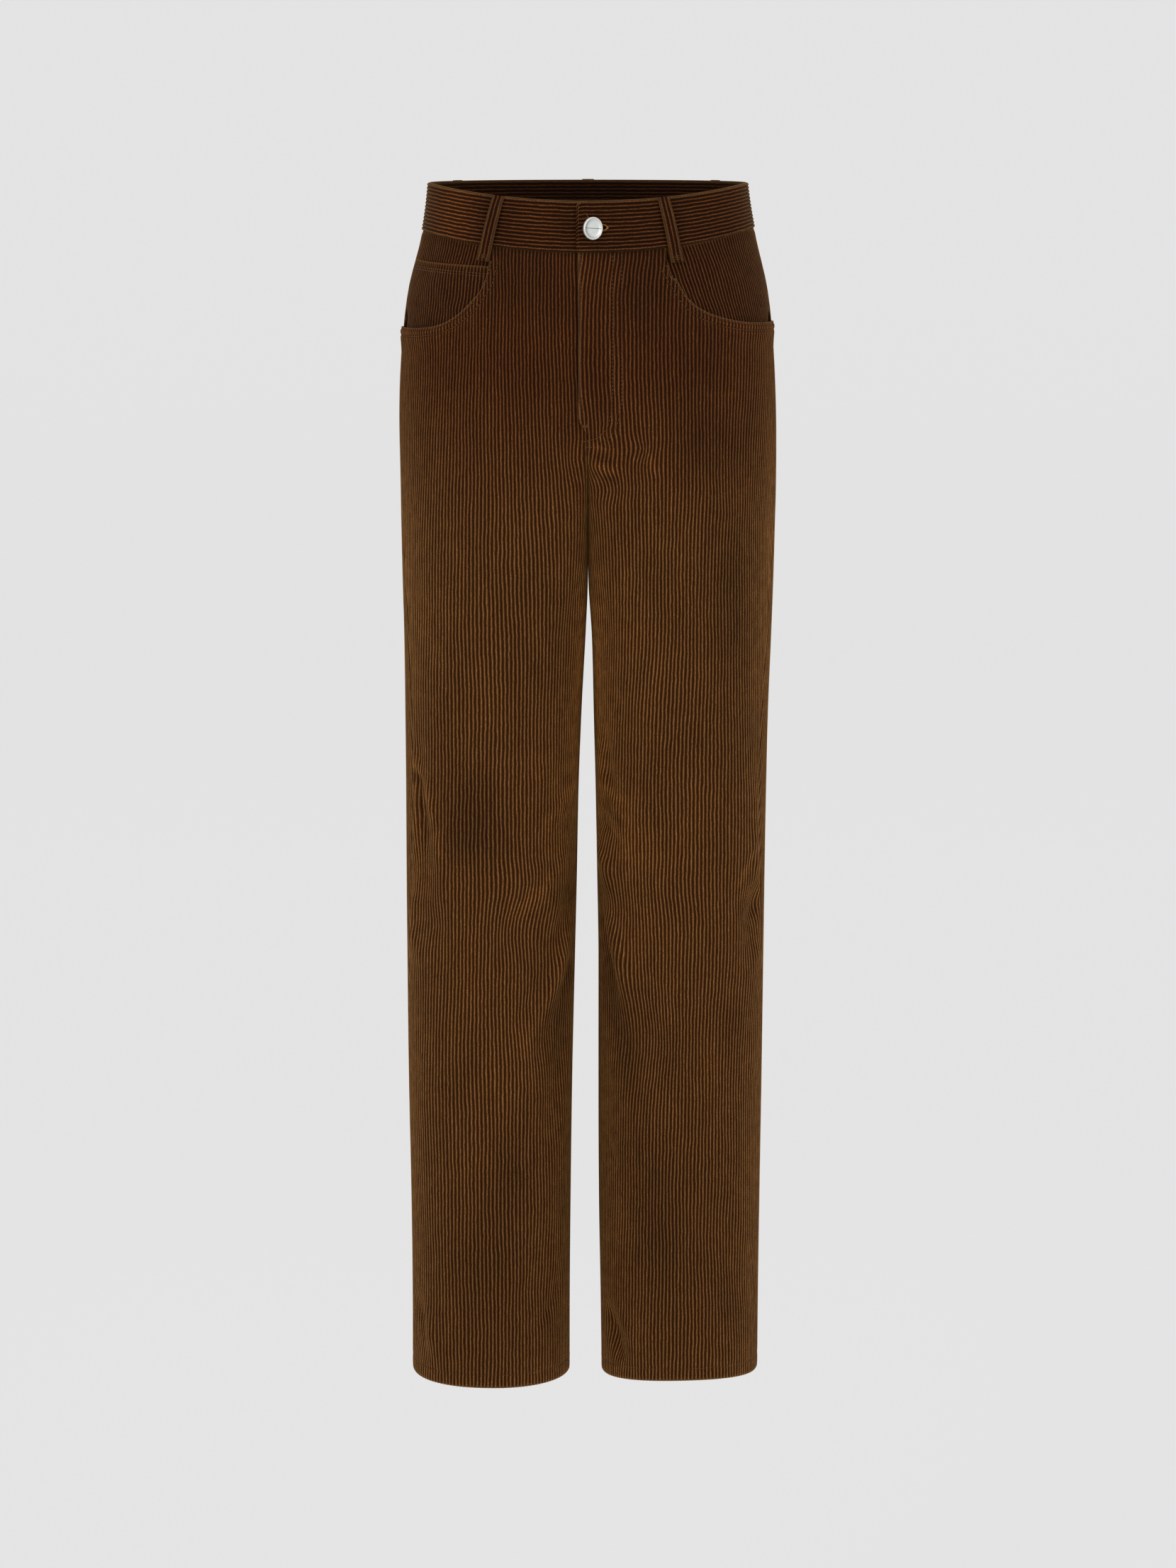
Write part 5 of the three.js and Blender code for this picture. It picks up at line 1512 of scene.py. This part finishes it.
def loop_rows(side, around, lean):
    """Two rows down a belt loop and a bar tack across its foot."""
    down, across = np.linspace(0.03, 0.97, 30), np.linspace(0.08, 0.92, 8)
    under = LOOP["thickness"] - LOOP_SEWN["under"]
    tack_under = LOOP["thickness"] - LOOP_SEWN["tack_under"]
    lines = [loop_at(side, around, lean, np.full(30, row), down, under) for row in LOOP_SEWN["rows"]]
    for low in LOOP_SEWN["tacks"]:
        lines.append(loop_at(side, around, lean, across, np.full(8, low), tack_under))
    return lines


def coin_rows():
    """Two rows across the coin pocket under its folded top edge."""
    leg = LEGS["right"]
    lines = []
    for below in COIN_ROWS:
        x = np.linspace(COIN["inner_x"] + 1, COIN["row_end_x"], 40)
        drop = COIN["inner_drop"] * np.clip((COIN["drop_x"] - x) / COIN["drop_over"], 0, 1)
        z = COIN["top_z"] - drop - below
        a = across_front("front_right", x, z)
        _, last = panel_reach("front_right", z)
        points, out = leg.surface(z, lambda k: leg.front[k] + a)
        forward = COIN["forward"][0] * forward_at_seam(a, last, z)
        under = COIN["depth"] - forward - fold_height(COIN_FOLDS, a, z) + ROW_UNDER["coin"]
        lines.append((to_side("right", points - out * under[:, None]), to_side("right", out)))
    return lines


def fly_edge():
    """A row beside the lapping edge of the fly and a bar tack at its foot."""
    z = np.linspace(FLY_EDGE["from_z"], FLY_EDGE["to_z"], 60)
    lines = [(np.full(60, FLY_EDGE["x"]), z)]
    for low in FLY_TACK["rows_z"]:
        lines.append((np.linspace(*FLY_TACK["x"], 8), np.full(8, low)))
    return [
        cloth_at("front_left", across_front("front_left", x, z), z, ROW_UNDER["fly"]) for x, z in lines
    ]


def buttonhole_stitches():
    """Close stitches round the buttonhole, each pointing away from the slit."""
    centre = (BUTTONHOLE["from"] + BUTTONHOLE["to"]) / 2
    reach, rise = (BUTTONHOLE["to"] - BUTTONHOLE["from"]) / 2, BUTTONHOLE["height"] / 2
    lines = []
    for turn in np.arange(0, 2 * np.pi, 2 * np.pi / HOLE_STITCHES["count"]):
        u = centre + math.cos(turn) * np.linspace(reach - 0.2, reach + HOLE_STITCHES["along"], 5)
        down = math.sin(turn) * np.linspace(rise, rise + HOLE_STITCHES["down"], 5)
        lines.append(band_at(u, HOLE_MIDDLE + down / BAND_FRONT_DEPTH, ROW_UNDER["band"]))
    return lines


def loose_thread():
    """The end of the buttonhole's thread, which stands up beside the button: a slack curve
    (1.2 sin(3t) - 4.5t, -2.5 sin(2.6t), 9t) from its start on the band."""
    t = np.linspace(0, 1, 30)
    start, _ = band_at(np.array(1.0), 0.42, 0)
    path = start + np.stack([-4.5 * t + 1.2 * np.sin(3 * t), -2.5 * np.sin(2.6 * t), 9 * t], -1)
    return [(path, np.tile([0.0, -1.0, 0.0], (30, 1)))]


def stage():
    """The sweep's profile carried round the middle, and the floor's centre."""
    points, quads, here, there = turned(SWEEP, 64)
    points = np.concatenate([points, [(0, 0, 0)]]) + (0, 0, FLOOR_Z)
    middle = np.stack([np.full(len(here), len(points) - 1), here, there], -1)
    material, tree, shader = blank("pale_studio_paper")
    feed(tree, shader, {
        "Base Color": linear("#707070"), "Roughness": 0.9, "Specular IOR Level": 0.1,
        "Emission Color": linear("#e3e3e3"), "Emission Strength": 0.85,
    })
    return make_piece("studio_sweep", points / MM, quads[:, ::-1], middle, (material,))


def area_light(name, place, target, size, power):
    """A rectangular light at a place, its -Z turned towards the target."""
    light = bpy.data.objects.new(name, bpy.data.lights.new(name, "AREA"))
    light.data.shape = "RECTANGLE"
    light.data.size, light.data.size_y = size
    light.data.energy = power
    light.location = place
    way = np.array(place, float) - np.array(target, float)
    flat = math.hypot(way[0], way[1])
    light.rotation_euler = (math.atan2(flat, way[2]), 0, math.atan2(way[1], way[0]) + math.pi / 2)
    bpy.context.collection.objects.link(light)


# Camera.
camera = bpy.data.objects.new("camera", bpy.data.cameras.new("camera"))
camera.location = CAMERA["place"]
camera.rotation_euler = (math.radians(90 - CAMERA["down"]), 0, 0)
camera.data.lens = CAMERA["lens"]
camera.data.sensor_width = CAMERA["sensor"]
bpy.context.collection.objects.link(camera)
bpy.context.scene.camera = camera

made = {name: panel(name) for name in PANELS}
made["waistband"] = waistband()
for side in ("right", "left"):
    made["pocket_facing_" + side] = pocket_facing(side)
made["coin_pocket"] = coin_pocket()
for row in LOOPS:
    made[row[0]] = belt_loop(*row)
made["button"] = button()

sewn = {name: stitches("stitches_" + name, panel_rows(name), THREAD) for name in PANELS}
sewn["waistband"] = stitches("stitches_waistband", band_rows(), THREAD)
sewn["coin_pocket"] = stitches("stitches_coin_pocket", coin_rows(), THREAD)
hole = stitches(
    "stitches_buttonhole", buttonhole_stitches(), GOLD_THREAD, pitch=2.2, share=1.0, radius=0.3,
)
end = stitches(
    "stitches_loose_end", loose_thread(), GOLD_THREAD, pitch=9.6, share=1.0, radius=0.2, lift=0,
)
for piece, *where in LOOPS:
    sewn[piece] = stitches("stitches_" + piece, loop_rows(*where), THREAD, pitch=2.6, radius=0.3)

allowances = [(rise_seam(), SEAM_CUTS["rise"], ("right", "left"))]
for side in ("right", "left"):
    allowances += [(leg_seam(side, seam), SEAM_CUTS[seam], (side,)) for seam in ("side", "inner")]
for piece, flat, sides in allowances:
    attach(piece, "root")

for name, piece in made.items():
    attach(piece, "root")
    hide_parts(name)
    if name == "button":
        continue
for thread in [*sewn.values(), hole, end]:
    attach(thread, "root")

stage()
# Each light: its place and target, its width and height in metres, and its power in watts.
area_light("key", (-1.9, -3.0, 1.6), (0, 0, -0.5), (1.6, 2.4), 40)
area_light("fill", (2.1, -3.0, 0.9), (0, 0, -0.5), (1.6, 2.4), 28)
area_light("above", (0, 0.2, 2.4), (0, 0, -0.5), (2.4, 2.4), 14)
world = bpy.data.worlds.new("studio_air")
world.use_nodes = True
world.node_tree.nodes["Background"].inputs["Color"].default_value = linear("#f2f2f2")
world.node_tree.nodes["Background"].inputs["Strength"].default_value = 0.5
bpy.context.scene.world = world
bpy.context.scene.view_settings.view_transform = "Standard"
